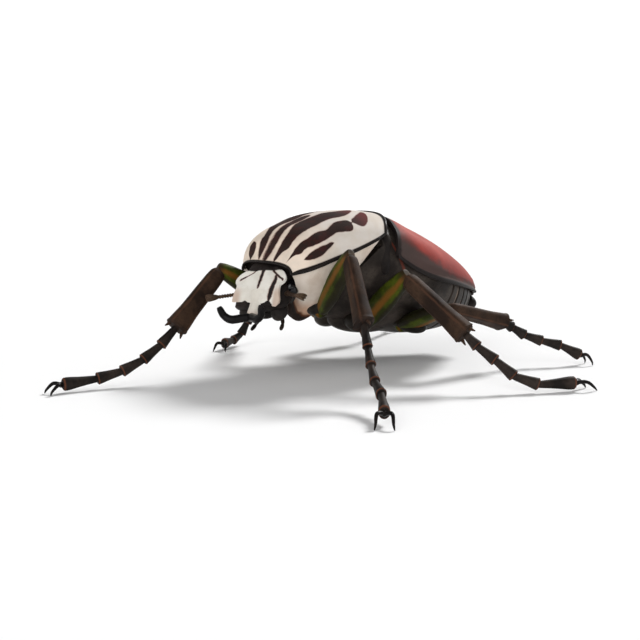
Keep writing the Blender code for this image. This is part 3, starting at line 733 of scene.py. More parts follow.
# %% [markdown]
# ## Wing case finish
# Goliath beetles' wing cases look like velvet over brick-red shell. Painted shade darkens the red at
# the shoulder, next to the pronotum's hind edge, and round the outer side, where a grey band of
# painted shade runs along the margin. The colour follows how far round the case a point is, which
# the flat map gives, and how far back, which the model's own Y gives.

# %% Wing case finish
def elytron_finish():
    material, tree, shader = new_finish("red_brown_shell", 0.6, 0.12)
    around, along = flat_map(tree)
    back, _ = beetle_place(tree)
    degrees = around * 90.0
    ragged = wander(tree, 160.0, 26.0, 5.0, 0.6)
    drift = degrees + ragged
    red = blend(ramp(grain(tree, 60.0, 3.0), 0.35, 0.7), colour(176, 78, 68), colour(152, 64, 58))
    # Painted shade: the red darkens round the outer side of the case.
    red = blend(ramp(drift, 52.0, 80.0), red, colour(128, 54, 50))
    red = blend(ramp(grain(tree, 900.0, 3.0), 0.5, 0.75) * 0.25, red, colour(120, 60, 56))
    # Painted shade: darker at the front of the case, next to the pronotum's hind edge.
    front = 1 - ramp(back + ragged * 0.25, 1.5, 6.5)
    base = blend(front * 0.9, red, colour(84, 42, 38))
    # Painted shade: a grey band down the outer side, widest at the front.
    shade_from = 80.0 + ramp(back, 0.0, 14.0) * 3.0 - (1 - ramp(back, 4.0, 22.0)) * 13.0
    base = blend(ramp(drift - shade_from, -10.0, 1.0) * 0.92, base, colour(74, 65, 62))
    rim = ramp(degrees, 85.0, 86.5)
    base = blend(rim, base, colour(34, 29, 28))
    front_rim = 1 - ramp(along, 0.008, 0.02)
    base = blend(front_rim, base, colour(40, 34, 33))
    seam = 1 - ramp(degrees, 1.0, 2.2)
    feed(shader, "Base Color", blend(seam, base, colour(70, 40, 38)))
    feed(shader, "Roughness", 0.7 - rim * 0.2 + wander(tree, 300.0, 0.2))
    relief(shader, grain(tree, 4200.0, 2.0) * 0.4 + ramp(pits(tree, 1300.0), 0.0, 0.3), 0.22, 0.00018)
    return material


velvet_red = elytron_finish()
for case in elytra:
    settle(case, velvet_red, "red_brown_shell")
print("wing cases finished")

# %% [markdown]
# ## The shield and side plates
# The small triangle between the wing cases, the scutellum, is a plate of its own lying on the same
# hull. A narrow plate, the mesepimeron, fills the corner between pronotum and wing case.

# %% Shield between the wing cases
SCUTELLUM_FRONT = 2.35
SCUTELLUM_TIP = 12.0
SCUTELLUM_HALF_WIDTH = 4.6
SCUTELLUM_ANGLE = math.radians(20.0)
SIDE_PLATE_AT = (16.7, -2.6, 31.8)
SIDE_PLATE_RADII = (1.5, 2.1, 5.5)


def scutellum_point(u, v):
    across = 2 * u - 1
    half_width = SCUTELLUM_HALF_WIDTH * (1 - v**1.2) + 0.3
    back = SCUTELLUM_FRONT + (SCUTELLUM_TIP - SCUTELLUM_FRONT) * v
    edge = hull_point(back, SCUTELLUM_ANGLE).x
    angle = SCUTELLUM_ANGLE * (abs(across) * half_width / edge) ** (BACK_POWER / 2)
    dent = 0.3 * hump(across, 0.0, 0.9) * hump(v, 0.35, 0.5)
    edge_drop = 0.25 * abs(across) ** 8 + 0.2 * v**10
    return Vector((across * half_width, back, hull_point(back, angle).z + 0.15 - dent - edge_drop))


scutellum = skin("scutellum", 44, 60, scutellum_point)
turn_outwards(scutellum, (0, 6, 30))
thicken(scutellum, CASE_THICKNESS)


def rounded(name, centre, radii, turn=None, segments=48, rings=28):
    """An ellipsoid with its surface points on the model, as a start for a plate."""
    bpy.ops.mesh.primitive_uv_sphere_add(segments=segments, ring_count=rings, radius=1.0)
    piece = only(bpy.context.object)
    piece.name = name + SKIN
    place = Matrix.Translation(Vector(centre)) @ (turn or Matrix()) @ Matrix.Diagonal((*radii, 1.0))
    for vert in piece.data.vertices:
        vert.co = on_model(place @ vert.co)
    return piece


def on_side(side, point):
    """A point given for the left side, on the left (1) or the right (-1)."""
    return Vector((side * point[0], point[1], point[2]))


plates = []
for side, word in ((1, "left"), (-1, "right")):
    plates.append(rounded("mesepimeron_" + word, on_side(side, SIDE_PLATE_AT), SIDE_PLATE_RADII))
print("shield and side plates:", len(scutellum.data.polygons), [len(plate.data.polygons) for plate in plates])

# %% [markdown]
# ## Underside of the hind thorax and the abdomen
# Under the wing cases the body is a keel-shaped barrel. The hind thorax carries the middle and hind
# legs and is one box with a groove down its middle. The abdomen behind it is six rings, each
# overlapping the next, so its rule adds a small step at each ring's hind edge.

# %% Body barrel
# Each row: how far back, depth below the margin, fullness.
BELLY = (
    (-5.0, 17.2, 1.35),
    (2.0, 16.8, 1.38),
    (6.0, 17.0, 1.38),
    (10.0, 16.4, 1.40),
    (20.0, 15.2, 1.5),
    (30.0, 12.8, 1.75),
    (38.0, 9.4, 1.8),
    (44.0, 4.8, 1.9),
)
ROOF_SHARE = 0.4
THORAX_FRONT = -4.4
THORAX_END = 20.8
ABDOMEN_START = 21.1
ABDOMEN_END = 43.4
STERNITES = 6
BARREL_INSET = 1.55


def barrel_edge(back, angle):
    """Point inside the wing cases at this distance back."""
    from_back = back
    for _ in range(4):
        point = hull_point(from_back, angle, -BARREL_INSET)
        from_back += back - point.y
    return Vector((point.x, back, point.z))


def barrel_point(back, u, slant=0.0, swell=0.0):
    """Ring of the barrel: the roof share of u goes over its back, and the rest round its belly."""
    if u < ROOF_SHARE:
        angle = math.pi / 2 * (1 - u / (ROOF_SHARE / 2))
        point = barrel_edge(back, abs(angle))
        return Vector((math.copysign(point.x, angle), point.y, point.z))
    edge = barrel_edge(back, math.pi / 2)
    angle = math.pi * (1 - (u - ROOF_SHARE) / (1 - ROOF_SHARE))
    depth, fullness = through(BELLY, 1, back), through(BELLY, 2, back)
    across = power(math.cos(angle), 2 / fullness)
    drop = power(math.sin(angle), 2 / fullness)
    outwards = Vector((across * 0.8, 0.0, -drop)).normalized()
    point = Vector((edge.x * across, edge.y - slant * drop**BREAST_SLANT_POWER, edge.z - depth * drop))
    return point + swell * outwards


CAP_POINTS = 24


def capped(place, along):
    """Wraps a rule over rings so that the first and last rings shrink to their own middle."""
    def point(u, v):
        spot = v * (along + 2) - 1
        if 0 <= round(spot) <= along:
            return place(u, min(max(spot / along, 0.0), 1.0))
        end = 0.0 if spot < 0 else 1.0
        ring = [place(k / CAP_POINTS, end) for k in range(CAP_POINTS)]
        return sum(ring, Vector()) / CAP_POINTS

    return point


# %% Thorax and abdomen
THORAX_RINGS = 70
ABDOMEN_RINGS = 150
SLANTS = ((-4.4, 12.5), (-2.0, 9.4), (2.0, 6.25), (6.0, 3.1), (10.0, 0.0), (20.8, 0.0))
KEEL_AT = (0.0, 6.0, 13.4)
KEEL_RADII = (6.4, 14.0, 4.6)
PYGIDIUM_AT = (0.0, 41.9, 15.2)
PYGIDIUM_RADII = (7.2, 3.4, 3.0)
PYGIDIUM_LEAN = math.radians(-38.0)


def thorax_point(u, v):
    back = THORAX_FRONT + (THORAX_END - THORAX_FRONT) * v
    around = (u - ROOF_SHARE) / (1 - ROOF_SHARE)
    swell = 0.0
    if u > ROOF_SHARE:
        swell -= 0.5 * hump(around, 0.5, 0.035)
        swell -= 0.35 * hump(around - 0.06 * v, 0.2, 0.02) + 0.35 * hump(around + 0.06 * v, 0.8, 0.02)
        swell += 0.25 * hump(around, 0.36, 0.13) + 0.25 * hump(around, 0.64, 0.13)
    return barrel_point(back, u, through(SLANTS, 1, back), swell)


thorax = skin("thorax_underside", 200, THORAX_RINGS + 2, capped(thorax_point, THORAX_RINGS), wrap=True)
keel = rounded("thorax_keel", KEEL_AT, KEEL_RADII, segments=64, rings=36)
thorax = joined([thorax, keel], "thorax_underside")


def abdomen_point(u, v):
    back = ABDOMEN_START + (ABDOMEN_END - ABDOMEN_START) * v
    share = (v * STERNITES) % 1.0 if v < 1 else 1.0
    step = 0.55 * (1 - min(share / 0.2, 1.0)) ** 0.8 if v > 0.02 else 0.3
    step += 0.2 * hump(share, 1.0, 0.06)
    return barrel_point(back, u, 0.0, -step if u > ROOF_SHARE else 0.0)


abdomen = skin("abdomen", 160, ABDOMEN_RINGS + 2, capped(abdomen_point, ABDOMEN_RINGS), wrap=True)
pygidium = rounded("pygidium", PYGIDIUM_AT, PYGIDIUM_RADII, Matrix.Rotation(PYGIDIUM_LEAN, 4, "X"))
print("thorax", len(thorax.data.polygons), "abdomen", len(abdomen.data.polygons), "faces")

# %% [markdown]
# ## Dark shell
# The underside is a dark olive-brown shell with a dull shine and scattered pits, paler where it is
# rubbed. One recipe makes each of its relatives: it takes the dark and the light colour, how rough
# the shell is, and how coarse its pits are.

# %% Dark shell recipe
def shell(name, dark, light, roughness, pit_scale=1100.0, depth=0.3, patches=120.0, pattern=None, **settings):
    """pattern(tree, base) may paint markings on the shell; settings go to the shader's own sockets."""
    material, tree, shader = new_finish(name, roughness, 0.1)
    dark = colour(*dark)
    base = blend(ramp(grain(tree, patches, 5.0, 0.6), 0.38, 0.68), dark, colour(*light))
    base = blend(ramp(grain(tree, patches * 9, 3.0), 0.42, 0.7) * 0.35, base, dark)
    dots = ramp(pits(tree, pit_scale), 0.02, 0.3)
    # Painted shade: the middle of each pit, where the relief dips, is darkened.
    base = blend((1 - dots) * 0.5, base, dark)
    feed(shader, "Base Color", pattern(tree, base) if pattern else base)
    feed(shader, "Roughness", grain(tree, patches * 4) * 0.25 + (roughness - 0.12))
    relief(shader, dots + grain(tree, patches * 20, 3.0) * 0.5, depth)
    for key, value in settings.items():
        shader.inputs[key.replace("_", " ")].default_value = value
    return material


def side_seam(tree, base):
    """A rusty line down the side of the thorax, leaning back as it falls."""
    back, height = beetle_place(tree)
    line = abs(back + (height - 26.8) * 0.45 - 2.4)
    seam = (1 - ramp(line, 0.2, 0.6)) * ramp(height, 22.0, 25.0)
    return blend(seam * 0.8, base, colour(112, 56, 44))


def ring_edges(tree, base):
    """A pale, broken edge at the end of each ring of the abdomen."""
    ring = (flat_map(tree)[1] * float(STERNITES)).math("FRACT") + wander(tree, 240.0, 0.3)
    edge = ramp(ring, 0.8, 0.9) * (1 - ramp(ring, 0.93, 1.0)) * ramp(grain(tree, 150.0, 2.0), 0.38, 0.6)
    return blend(edge * 0.8, base, colour(136, 116, 100))


THORAX_SHELL = shell("grey_black_shell", (40, 35, 32), (78, 70, 64), 0.5, pattern=side_seam)
ABDOMEN_SHELL = shell("grey_black_shell_rings", (32, 28, 26), (62, 54, 48), 0.48, pattern=ring_edges)
PLATE_SHELL = shell("grey_black_plate", (32, 28, 27), (60, 53, 48), 0.5)
settle(thorax, THORAX_SHELL, "grey_black_shell")
settle(abdomen, ABDOMEN_SHELL, "grey_black_shell")
for plate in (pygidium, *plates):
    settle(plate, PLATE_SHELL, "grey_black_shell")
settle(scutellum, shell("maroon_shell", (48, 24, 22), (84, 44, 40), 0.42), "maroon_shell")
settle(border, shell("black_border", (26, 22, 21), (46, 40, 38), 0.35), "black_horn")
settle(front_wall, shell("neck_dark", (24, 21, 20), (44, 38, 35), 0.55), "grey_black_shell")
print("dark shells finished")

# %% [markdown]
# ## Cheek plate finish
# The side of the prothorax under the border is cream like the back, and turns peach and then brown
# towards its lower edge and the breast between the legs, which the flat map places.

# %% Cheek plate finish
def cheek_finish():
    material, tree, shader = new_finish("cream_shell_cheek", 0.75, 0.08)
    low = 0.5 - abs(flat_map(tree)[0] - 0.5) + wander(tree, 170.0, 0.06)
    base = blend(ramp(grain(tree, 260.0), 0.35, 0.7), colour(232, 220, 207), colour(218, 202, 186))
    base = blend(ramp(low, 0.25, 0.35), base, colour(206, 168, 142))
    base = blend(ramp(low, 0.35, 0.38), base, colour(106, 66, 46))
    feed(shader, "Base Color", blend(ramp(low, 0.37, 0.41), base, colour(44, 33, 28)))
    relief(shader, grain(tree, 5200.0, 2.0), 0.25)
    return material


settle(breast, cheek_finish(), "cream_shell")
print("cheek plates finished")

# %% [markdown]
# ## The head
# The head is a flat box tucked under the pronotum and bent down, with its own left, ahead and up.
# It is shaped in that simple frame first, and one matrix then turns it to the left, down and to its
# side. The horn is its front edge drawn out to a stem, with two arms that fork from it.

# %% The head's own frame
HEAD_AT = Vector((0.0, -28.5, 28.9))
HEAD_TURN = math.radians(28.0)
HEAD_DOWN = math.radians(55.0)
HEAD_ROLL = math.radians(8.0)
FLIP = Matrix(((1, 0, 0, 0), (0, -1, 0, 0), (0, 0, 1, 0), (0, 0, 0, 1)))
HEAD_PLACE = (
    Matrix.Translation(HEAD_AT) @ Matrix.Rotation(HEAD_TURN, 4, "Z") @ Matrix.Rotation(HEAD_DOWN, 4, "X")
    @ Matrix.Rotation(-HEAD_ROLL, 4, "Y") @ FLIP
)


def on_head(point):
    """A point of the head's frame (left, ahead, up), in millimetres, on the beetle."""
    return HEAD_PLACE @ Vector(point)


print("the head looks towards", [round(value, 2) for value in (HEAD_PLACE.to_3x3() @ Vector((0, 1, 0)))])

# %% Head capsule
# Each row: how far ahead, half width, height of the top and of the underside.
HEAD_RINGS = (
    (-3.4, 5.4, -1.6, -6.2),
    (-1.0, 6.8, -0.3, -7.0),
    (2.5, 7.2, 0.2, -7.2),
    (6.0, 7.6, 0.3, -6.6),
    (9.0, 7.6, 0.1, -5.4),
    (11.2, 7.2, -0.2, -3.6),
)
HEAD_FULLNESS = 3.0
HEAD_BACK = -3.4
HEAD_LENGTH = 14.6
HEAD_NOSE = 0.9
HEAD_CLOSING = 0.08


def head_point(u, v):
    """Ring of the head; at the two ends the ring closes in a rounded nose."""
    ahead = HEAD_BACK + HEAD_LENGTH * min(max((v - HEAD_CLOSING) / (1 - 2 * HEAD_CLOSING), 0.0), 1.0)
    half_width, top, bottom = (through(HEAD_RINGS, column, ahead) for column in (1, 2, 3))
    closing = min(v / HEAD_CLOSING, (1 - v) / HEAD_CLOSING, 1.0)
    shrink = math.sqrt(max(1 - (1 - closing) ** 2, 0.0))
    ahead += (1 - closing) * (HEAD_NOSE if v > 0.5 else -HEAD_NOSE)
    angle = 2 * math.pi * u
    across = power(math.cos(angle), 2 / HEAD_FULLNESS)
    up = power(math.sin(angle), 2 / HEAD_FULLNESS)
    middle, half_height = (top + bottom) / 2, (top - bottom) / 2
    return on_head((half_width * across * shrink, ahead, middle + half_height * up * shrink))


head = skin("head", 96, 90, head_point, wrap=True)
print("head", len(head.data.polygons), "faces")

# %% [markdown]
# ## Face plate
# The top of the head is a pale plate with raised edges. Its front corners stand out as two lobes
# beside the horn, and its sides run back to the bars that cross the eyes. The plate is one grid
# between a left and a right outline, lifted at its edges, with the pattern laid on its flat map.

# %% Face plate
FACE_SIDES = (
    # ahead, half width, height of the edge over the middle
    (0.6, 4.2, -0.2),
    (1.6, 5.4, -0.1),
    (2.6, 6.7, 0.0),
    (4.2, 7.7, 0.0),
    (5.4, 7.5, 0.1),
    (6.4, 6.7, 0.3),
    (8.0, 6.8, 0.4),
    (9.4, 7.1, 0.3),
    (10.6, 7.3, 0.1),
    (11.4, 7.0, -0.1),
    (12.0, 6.2, -0.4),
)
FACE_START = 0.6
FACE_END = 12.0
FACE_THICKNESS = 0.55


def face_edge(ahead):
    return through(FACE_SIDES, 1, ahead), through(FACE_SIDES, 2, ahead)


def face_point(u, v):
    across = 2 * u - 1
    notch = 1.0 * hump(across, 0.5, 0.35) + 0.5 * hump(across, -0.5, 0.45)
    far = FACE_END - 0.7 + 0.7 * across - notch
    ahead = FACE_START + (far - FACE_START) * v
    half_width, edge = face_edge(ahead)
    top = through(HEAD_RINGS, 2, min(ahead, 11.2))
    rise = 0.4 + edge * abs(across) ** 4
    dip = -0.35 * hump(across, 0.55, 0.35) - 0.35 * hump(across, -0.55, 0.35)
    ridge = 0.45 * hump(across, 0.0, 0.35) * hump(ahead, 10.0, 6.0)
    return on_head((across * half_width, ahead, top + rise + dip + ridge - 0.25 * v**12))


face = skin("face_plate", 96, 96, face_point)
turn_outwards(face, on_head((0, 5, -5)))
thicken(face, FACE_THICKNESS)
print("face plate", len(face.data.polygons), "faces")

# %% Horn
STEM_START = Vector((0.0, 8.0, -1.2))
FORK = Vector((0.0, 15.3, -0.1))
ELBOW = (4.0, 16.9, 2.2)
HORN_TIP = (6.4, 15.0, 5.3)
STEM = ((0.0, 3.0), (0.25, 2.3), (0.45, 1.75), (0.8, 1.5), (1.0, 1.3))
STEM_STEPS = 20
ARM = ((0, 1.15), (1, 1.12), (2, 1.08), (3, 0.95), (3.7, 0.86), (4, 0.62))
ARM_STEPS = 36


def smooth_route(points, steps):
    """Points along a smooth curve through the given ones."""
    keys = [(k, *point) for k, point in enumerate(points)]
    stops = [i / steps * (len(points) - 1) for i in range(steps + 1)]
    return [Vector([through(keys, column, stop) for column in (1, 2, 3)]) for stop in stops]


def straight_route(start, end, steps):
    return [start.lerp(end, i / steps) for i in range(steps + 1)]


def sized(keys, steps):
    """Radii along a route, read off a curve through sizes."""
    first, last = keys[0][0], keys[-1][0]
    return [through(keys, 1, first + (last - first) * i / steps) for i in range(steps + 1)]


def on_head_route(route):
    return [on_head(point) for point in route]


head_up = HEAD_PLACE.to_3x3() @ Vector((0, 0, 1))
stem_route = on_head_route(straight_route(STEM_START, FORK, STEM_STEPS))
stem = tube_along("horn_stem", stem_route, sized(STEM, STEM_STEPS), sides=32, flat=0.85, up=head_up)

horns = []
for side, word in ((1, "left"), (-1, "right")):
    root = FORK + Vector((side * -0.3, -0.35, -0.1))
    elbow, tip = on_side(side, ELBOW), on_side(side, HORN_TIP)
    bend = (elbow + tip) / 2 + Vector((side * 0.5, 0.4, -0.4))
    arm_route = on_head_route(smooth_route([root, (root + elbow) / 2, elbow, bend, tip], ARM_STEPS))
    arm_radii = sized(ARM, ARM_STEPS)
    horns.append(tube_along("horn_" + word, arm_route, arm_radii, sides=24, flat=0.92, up=head_up))
print("horn arms:", [len(horn.data.polygons) for horn in horns], "faces")

# %% [markdown]
# ## Eyes, mouthparts and palps
# The eye is a glossy black ball, half sunk in the head's side. The mouth's brushes hang under
# the front corners, and two palps, the beetle's feelers for food, hang below them.

# %% Eyes, mouthparts and palps
EYE_AT, EYE_RADII = (7.2, 4.8, -3.4), (1.9, 2.1, 2.1)
PALP_BENDS = ((2.6, 8.6, -6.8), (3.5, 10.8, -7.7), (4.2, 12.8, -7.9), (4.6, 14.8, -7.3))
PALP_STEPS = 30
PALP_TIP_RADIUS = 0.3
MOUTH_AT, MOUTH_RADII = (0.0, 8.6, -5.3), (4.6, 4.0, 1.9)
LOBE_AT, LOBE_RADII = (4.9, 11.0, -4.2), (2.3, 2.8, 2.0)


def head_ball(name, centre, radii, segments=40, rings=24):
    return rounded(name, (0, 0, 0), radii, HEAD_PLACE @ Matrix.Translation(Vector(centre)), segments, rings)


def beaded(count, thin, swelling, sharpness):
    """Radii that swell once in every ten steps of a route."""
    return [thin + swelling * abs(math.sin(math.pi * i / 10)) ** sharpness for i in range(count + 1)]


eyes, palps = [], []
for side, word in ((1, "left"), (-1, "right")):
    eyes.append(head_ball("eye_" + word, on_side(side, EYE_AT), EYE_RADII))
    palp_route = on_head_route(smooth_route([on_side(side, bend) for bend in PALP_BENDS], PALP_STEPS))
    palp_radii = beaded(PALP_STEPS, 0.34, 0.18, 0.6)
    palp_radii[-1] = PALP_TIP_RADIUS
    palps.append(tube_along("palp_" + word, palp_route, palp_radii, sides=16))

mouth = [head_ball("mouthparts", MOUTH_AT, MOUTH_RADII)]
for side in (1, -1):
    mouth.append(head_ball("mouth_lobe", on_side(side, LOBE_AT), LOBE_RADII))
mouthparts = joined(mouth, "mouthparts")
print("eyes", len(eyes), "palps", len(palps), "mouthparts", len(mouthparts.data.polygons), "faces")

# %% [markdown]
# ## Antennae
# Each antenna has a thick first joint, a string of small beads and a club of three leaves that fan
# out, as in all scarab beetles. Stem and beads are one tube whose radius swells at every bead, and
# each leaf is a flat tube of its own.

# %% Antennae
ANTENNA_ROOT = (6.4, 7.4, -2.3)
ANTENNA_ENDS = {"left": (15.2, 10.3, 0.8), "right": (-12.8, 11.6, 4.0)}
ELBOW_SHARE, CLUB_SHARE = 0.22, 0.62
SCAPE_STEPS, BEAD_STEPS, LEAF_STEPS = 16, 60, 24
LEAF = ((0, 0.35), (0.3, 0.75), (0.75, 0.8), (0.93, 0.55), (1, 0.2))
LEAF_SPREAD = 0.7

antennae = []
for side, word in ((1, "left"), (-1, "right")):
    root, end = on_side(side, ANTENNA_ROOT), Vector(ANTENNA_ENDS[word])
    run = end - root
    elbow = root + ELBOW_SHARE * run + Vector((0.0, -0.2, 0.5))
    club = root + CLUB_SHARE * run + Vector((0.0, 0.2, 0.6))
    scape = on_head_route(straight_route(root, elbow, SCAPE_STEPS))
    scape_radii = [0.42 + 0.3 * (i / SCAPE_STEPS) ** 0.8 for i in range(SCAPE_STEPS + 1)]
    beads = on_head_route(straight_route(elbow, club, BEAD_STEPS))
    pieces = [
        tube_along("scape", scape, scape_radii, sides=16),
        tube_along("beads", beads, beaded(BEAD_STEPS, 0.3, 0.22, 0.7), sides=14),
    ]
    across = run.cross(Vector((0, 0, 1))).normalized()
    leaf_up = HEAD_PLACE.to_3x3() @ across
    for leaf in (-1, 0, 1):
        aim = (end - club) + across * leaf * LEAF_SPREAD
        blade = straight_route(club - 0.15 * aim, club + aim * (1.0 if leaf else 1.03), LEAF_STEPS)
        radii = sized(LEAF, LEAF_STEPS)
        pieces.append(tube_along("leaf", on_head_route(blade), radii, sides=20, flat=0.42, up=leaf_up))
    antennae.append(joined(pieces, "antenna_" + word))
print("antennae:", [len(antenna.data.polygons) for antenna in antennae], "faces")

# %% [markdown]
# ## Face pattern
# The face is cream with a black streak down its middle and a crooked black line on each side, and
# tan front lobes. As on the pronotum, curves over the plate's length say where each line runs.

# %% Face plate finish
# Middle and half width, in millimetres to the left of the middle line, at millimetres ahead.
FACE_LINES = {
    "middle": (
        ((0.0, 0.0), (12.0, 0.0)),
        ((0.0, 0.5), (1.4, 0.5), (2.4, 0.36), (4.0, 0.4), (5.5, 0.3), (7.2, 0.08), (7.8, -0.6), (12.0, -0.6)),
    ),
    "left": (
        ((0.0, 3.6), (3.0, 4.1), (4.2, 4.4), (5.0, 4.4), (6.2, 4.2), (8.5, 4.0), (10.2, 3.8), (12.0, 3.8)),
        ((0.0, -0.8), (2.6, -0.5), (3.2, 0.15), (4.2, 0.4), (5.5, 0.6), (7.0, 0.68), (9.0, 0.6),
         (10.0, 0.4), (11.0, -0.3), (12.0, -0.6)),
    ),
    "eye_bar": (
        ((0.0, 2.2), (1.8, 3.0), (2.4, 3.6), (3.2, 4.6), (4.0, 5.7), (4.8, 6.8), (12.0, 7.5)),
        ((0.0, 0.25), (1.8, 0.28), (2.8, 0.3), (4.0, 0.36), (4.8, 0.3), (5.4, -0.2), (6.0, -0.8),
         (12.0, -0.8)),
    ),
    "right": (
        ((0.0, -2.4), (2.0, -3.0), (3.0, -4.4), (3.8, -5.6), (4.4, -6.2), (12.0, -6.6)),
        ((0.0, -0.6), (1.2, -0.2), (2.0, 0.14), (3.0, 0.18), (4.0, 0.3), (4.6, 0.1), (5.2, -0.6),
         (12.0, -0.6)),
    ),
}
FACE_MAP = "face_map"


def map_face(piece):
    """Keeps each point's place on the head, left and ahead in millimetres, as the pattern's map."""
    back_to_head = HEAD_PLACE.inverted()
    attribute = piece.data.attributes.new(FACE_MAP, "FLOAT_VECTOR", "POINT")
    for vert, value in zip(piece.data.vertices, attribute.data):
        value.vector = back_to_head @ (vert.co / MM + MIDDLE)


def face_place(tree):
    return parts(add(tree, "Attribute", "Vector", {"attribute_name": FACE_MAP}))[:2]


def face_finish():
    material, tree, shader = new_finish("cream_shell_face", 0.55, 0.2)
    left, ahead = face_place(tree)
    ragged = wander(tree, 900.0, 0.5)
    share = ahead * (1 / FACE_END)
    inside = depth_in_lines(FACE_LINES, left + ragged, share, 10.0, 1.0, FACE_END)
    dark = ramp(inside, -0.08, 0.12)
    cream = blend(ramp(grain(tree, 300.0), 0.35, 0.7), colour(240, 236, 227), colour(226, 220, 209))
    lobe = ramp(abs(left) + ragged, 4.4, 6.0) * ramp(ahead, 6.0, 9.0)
    base = blend(lobe * 0.7, cream, colour(196, 166, 146))
    base = blend(ramp(inside, -0.35, 0.1), base, colour(120, 58, 44))
    base = blend(dark, base, colour(30, 24, 23))
    hind = 1 - ramp(ahead + ragged, 1.5, 1.9)
    feed(shader, "Base Color", blend(hind, base, colour(34, 28, 26)))
    feed(shader, "Roughness", 0.7 - dark * 0.2)
    relief(shader, grain(tree, 4800.0, 2.0), 0.25)
    return material


def stem_finish():
    """Cream to the fork, with a tan end."""
    material, tree, shader = new_finish("cream_shell_stem", 0.7, 0.2)
    cream = blend(ramp(grain(tree, 300.0), 0.35, 0.7), colour(238, 233, 223), colour(224, 217, 205))
    tan = ramp(face_place(tree)[1], 12.6, 15.2)
    feed(shader, "Base Color", blend(tan * 0.5, cream, colour(186, 150, 128)))
    relief(shader, grain(tree, 4800.0, 2.0), 0.25)
    return material


for piece, finish in ((face, face_finish()), (stem, stem_finish())):
    map_face(piece)
    settle(piece, finish, "cream_shell")
print("face finished")

# %% Dark pieces of the head
HEAD_SHELLS = (
    ((head,), shell("grey_black_head", (30, 26, 25), (54, 47, 44), 0.5), "grey_black_shell"),
    (horns, shell("black_horn", (14, 13, 14), (38, 34, 33), 0.32, 1700.0, 0.15), "black_horn"),
    (eyes, shell("eye_black", (6, 6, 8), (18, 16, 18), 0.18, 5200.0, 0.12, Coat_Weight=0.6), "eye_black"),
    (antennae, shell("dark_brown_antenna", (50, 38, 30), (100, 80, 64), 0.55, 2200.0, 0.2),
     "dark_brown_shell"),
    (palps, shell("palp_black", (28, 23, 21), (56, 46, 40), 0.45, 2200.0, 0.2), "dark_brown_shell"),
    ((mouthparts,), shell("brown_black_mouth", (30, 27, 26), (62, 56, 52), 0.5, 1500.0), "brown_black_shell"),
)
for pieces, finish, slot in HEAD_SHELLS:
    for piece in pieces:
        settle(piece, finish, slot)
print("head finished")

# %% [markdown]
# ## Legs
# Each leg is a hip, a thigh (femur), a shin (tibia), five foot joints and a pair of claws, and the
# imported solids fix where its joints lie. A leg joint is a flattened tube that swells and narrows
# along its length, so one table of radii describes it, and the same rule makes all six legs.

# %% Joint places
LEGS = {
    "fore_left": (
        (8.5, -17.5, 17.2), (24.0, -20.7, 32.0), (36.0, -26.0, 17.0),
        (39.2, -27.6, 12.4), (42.9, -29.8, 9.0), (47.2, -32.3, 6.3),
        (52.2, -34.8, 4.7), (58.6, -39.6, 2.7), (61.7, -42.3, 0.0),
    ),
    "fore_right": (
        (-8.5, -17.5, 17.2), (-12.5, -34.5, 27.5), (-10.5, -49.5, 13.3),
        (-10.2, -54.0, 9.3), (-10.2, -59.0, 6.1), (-10.5, -64.6, 3.8),
        (-11.1, -70.8, 2.6), (-11.7, -79.2, 2.1), (-11.7, -82.8, 0.0),
    ),
    "mid_left": (
        (8.5, -3.5, 12.3), (25.5, -3.9, 26.5), (41.9, 1.3, 13.2),
        (45.0, 2.2, 10.5), (49.3, 4.0, 7.5), (53.0, 6.4, 4.0),
        (56.8, 10.8, 2.1), (60.7, 19.5, 2.1), (61.8, 24.3, 0.0),
    ),
    "mid_right": (
        (-8.5, -3.5, 12.3), (-25.1, -5.2, 25.9), (-42.5, -0.5, 14.5),
        (-45.8, -1.8, 11.4), (-48.0, -3.9, 7.3), (-48.6, -5.8, 3.6),
        (-46.7, -10.0, 2.2), (-42.8, -15.7, 2.2), (-40.7, -18.7, 0.0),
    ),
    "hind_left": (
        (8.5, 11.0, 11.1), (27.0, 9.5, 17.8), (28.5, 30.1, 12.6),
        (28.8, 33.5, 11.0), (30.2, 37.2, 8.6), (33.0, 41.4, 6.9),
        (36.2, 45.6, 5.6), (39.2, 50.4, 2.8), (40.3, 53.0, 0.0),
    ),
    "hind_right": (
        (-8.5, 11.0, 11.1), (-27.0, 12.0, 19.0), (-29.5, 32.5, 13.0),
        (-30.8, 35.8, 11.0), (-32.7, 39.4, 8.4), (-35.2, 43.2, 6.4),
        (-38.0, 47.3, 4.9), (-41.4, 52.5, 2.8), (-43.2, 55.4, 0.0),
    ),
}
COXAE = {
    "fore": ((6.0, -17.5, 18.6), (5.0, 3.0, 2.8)),
    "mid": ((6.6, -3.5, 13.2), (4.8, 3.2, 2.8)),
    "hind": ((8.0, 12.6, 12.3), (8.0, 3.9, 2.7)),
}
FEMUR = ((0.0, 1.6), (0.1, 2.3), (0.3, 2.9), (0.6, 2.9), (0.85, 2.4), (0.97, 2.0), (1.06, 1.4))
TIBIA = ((0.0, 1.5), (0.06, 2.1), (0.3, 2.35), (0.7, 2.5), (0.93, 2.85), (1.0, 2.7))
FOOT_JOINT = ((-0.06, 0.8), (0.1, 0.95), (0.5, 1.15), (0.9, 1.42), (1.0, 1.36))
LAST_FOOT_JOINT = ((-0.06, 0.8), (0.1, 0.9), (0.5, 1.2), (0.88, 1.55), (1.0, 1.3))
legs = {name: [Vector(point) for point in points] for name, points in LEGS.items()}
print("legs:", ", ".join(legs))

# %% Turned leg joints
def axes(along, facing):
    """Directions across a joint: towards facing, and square to it."""
    z = along.normalized()
    y = z.cross(facing).normalized()
    return y.cross(z), y, z


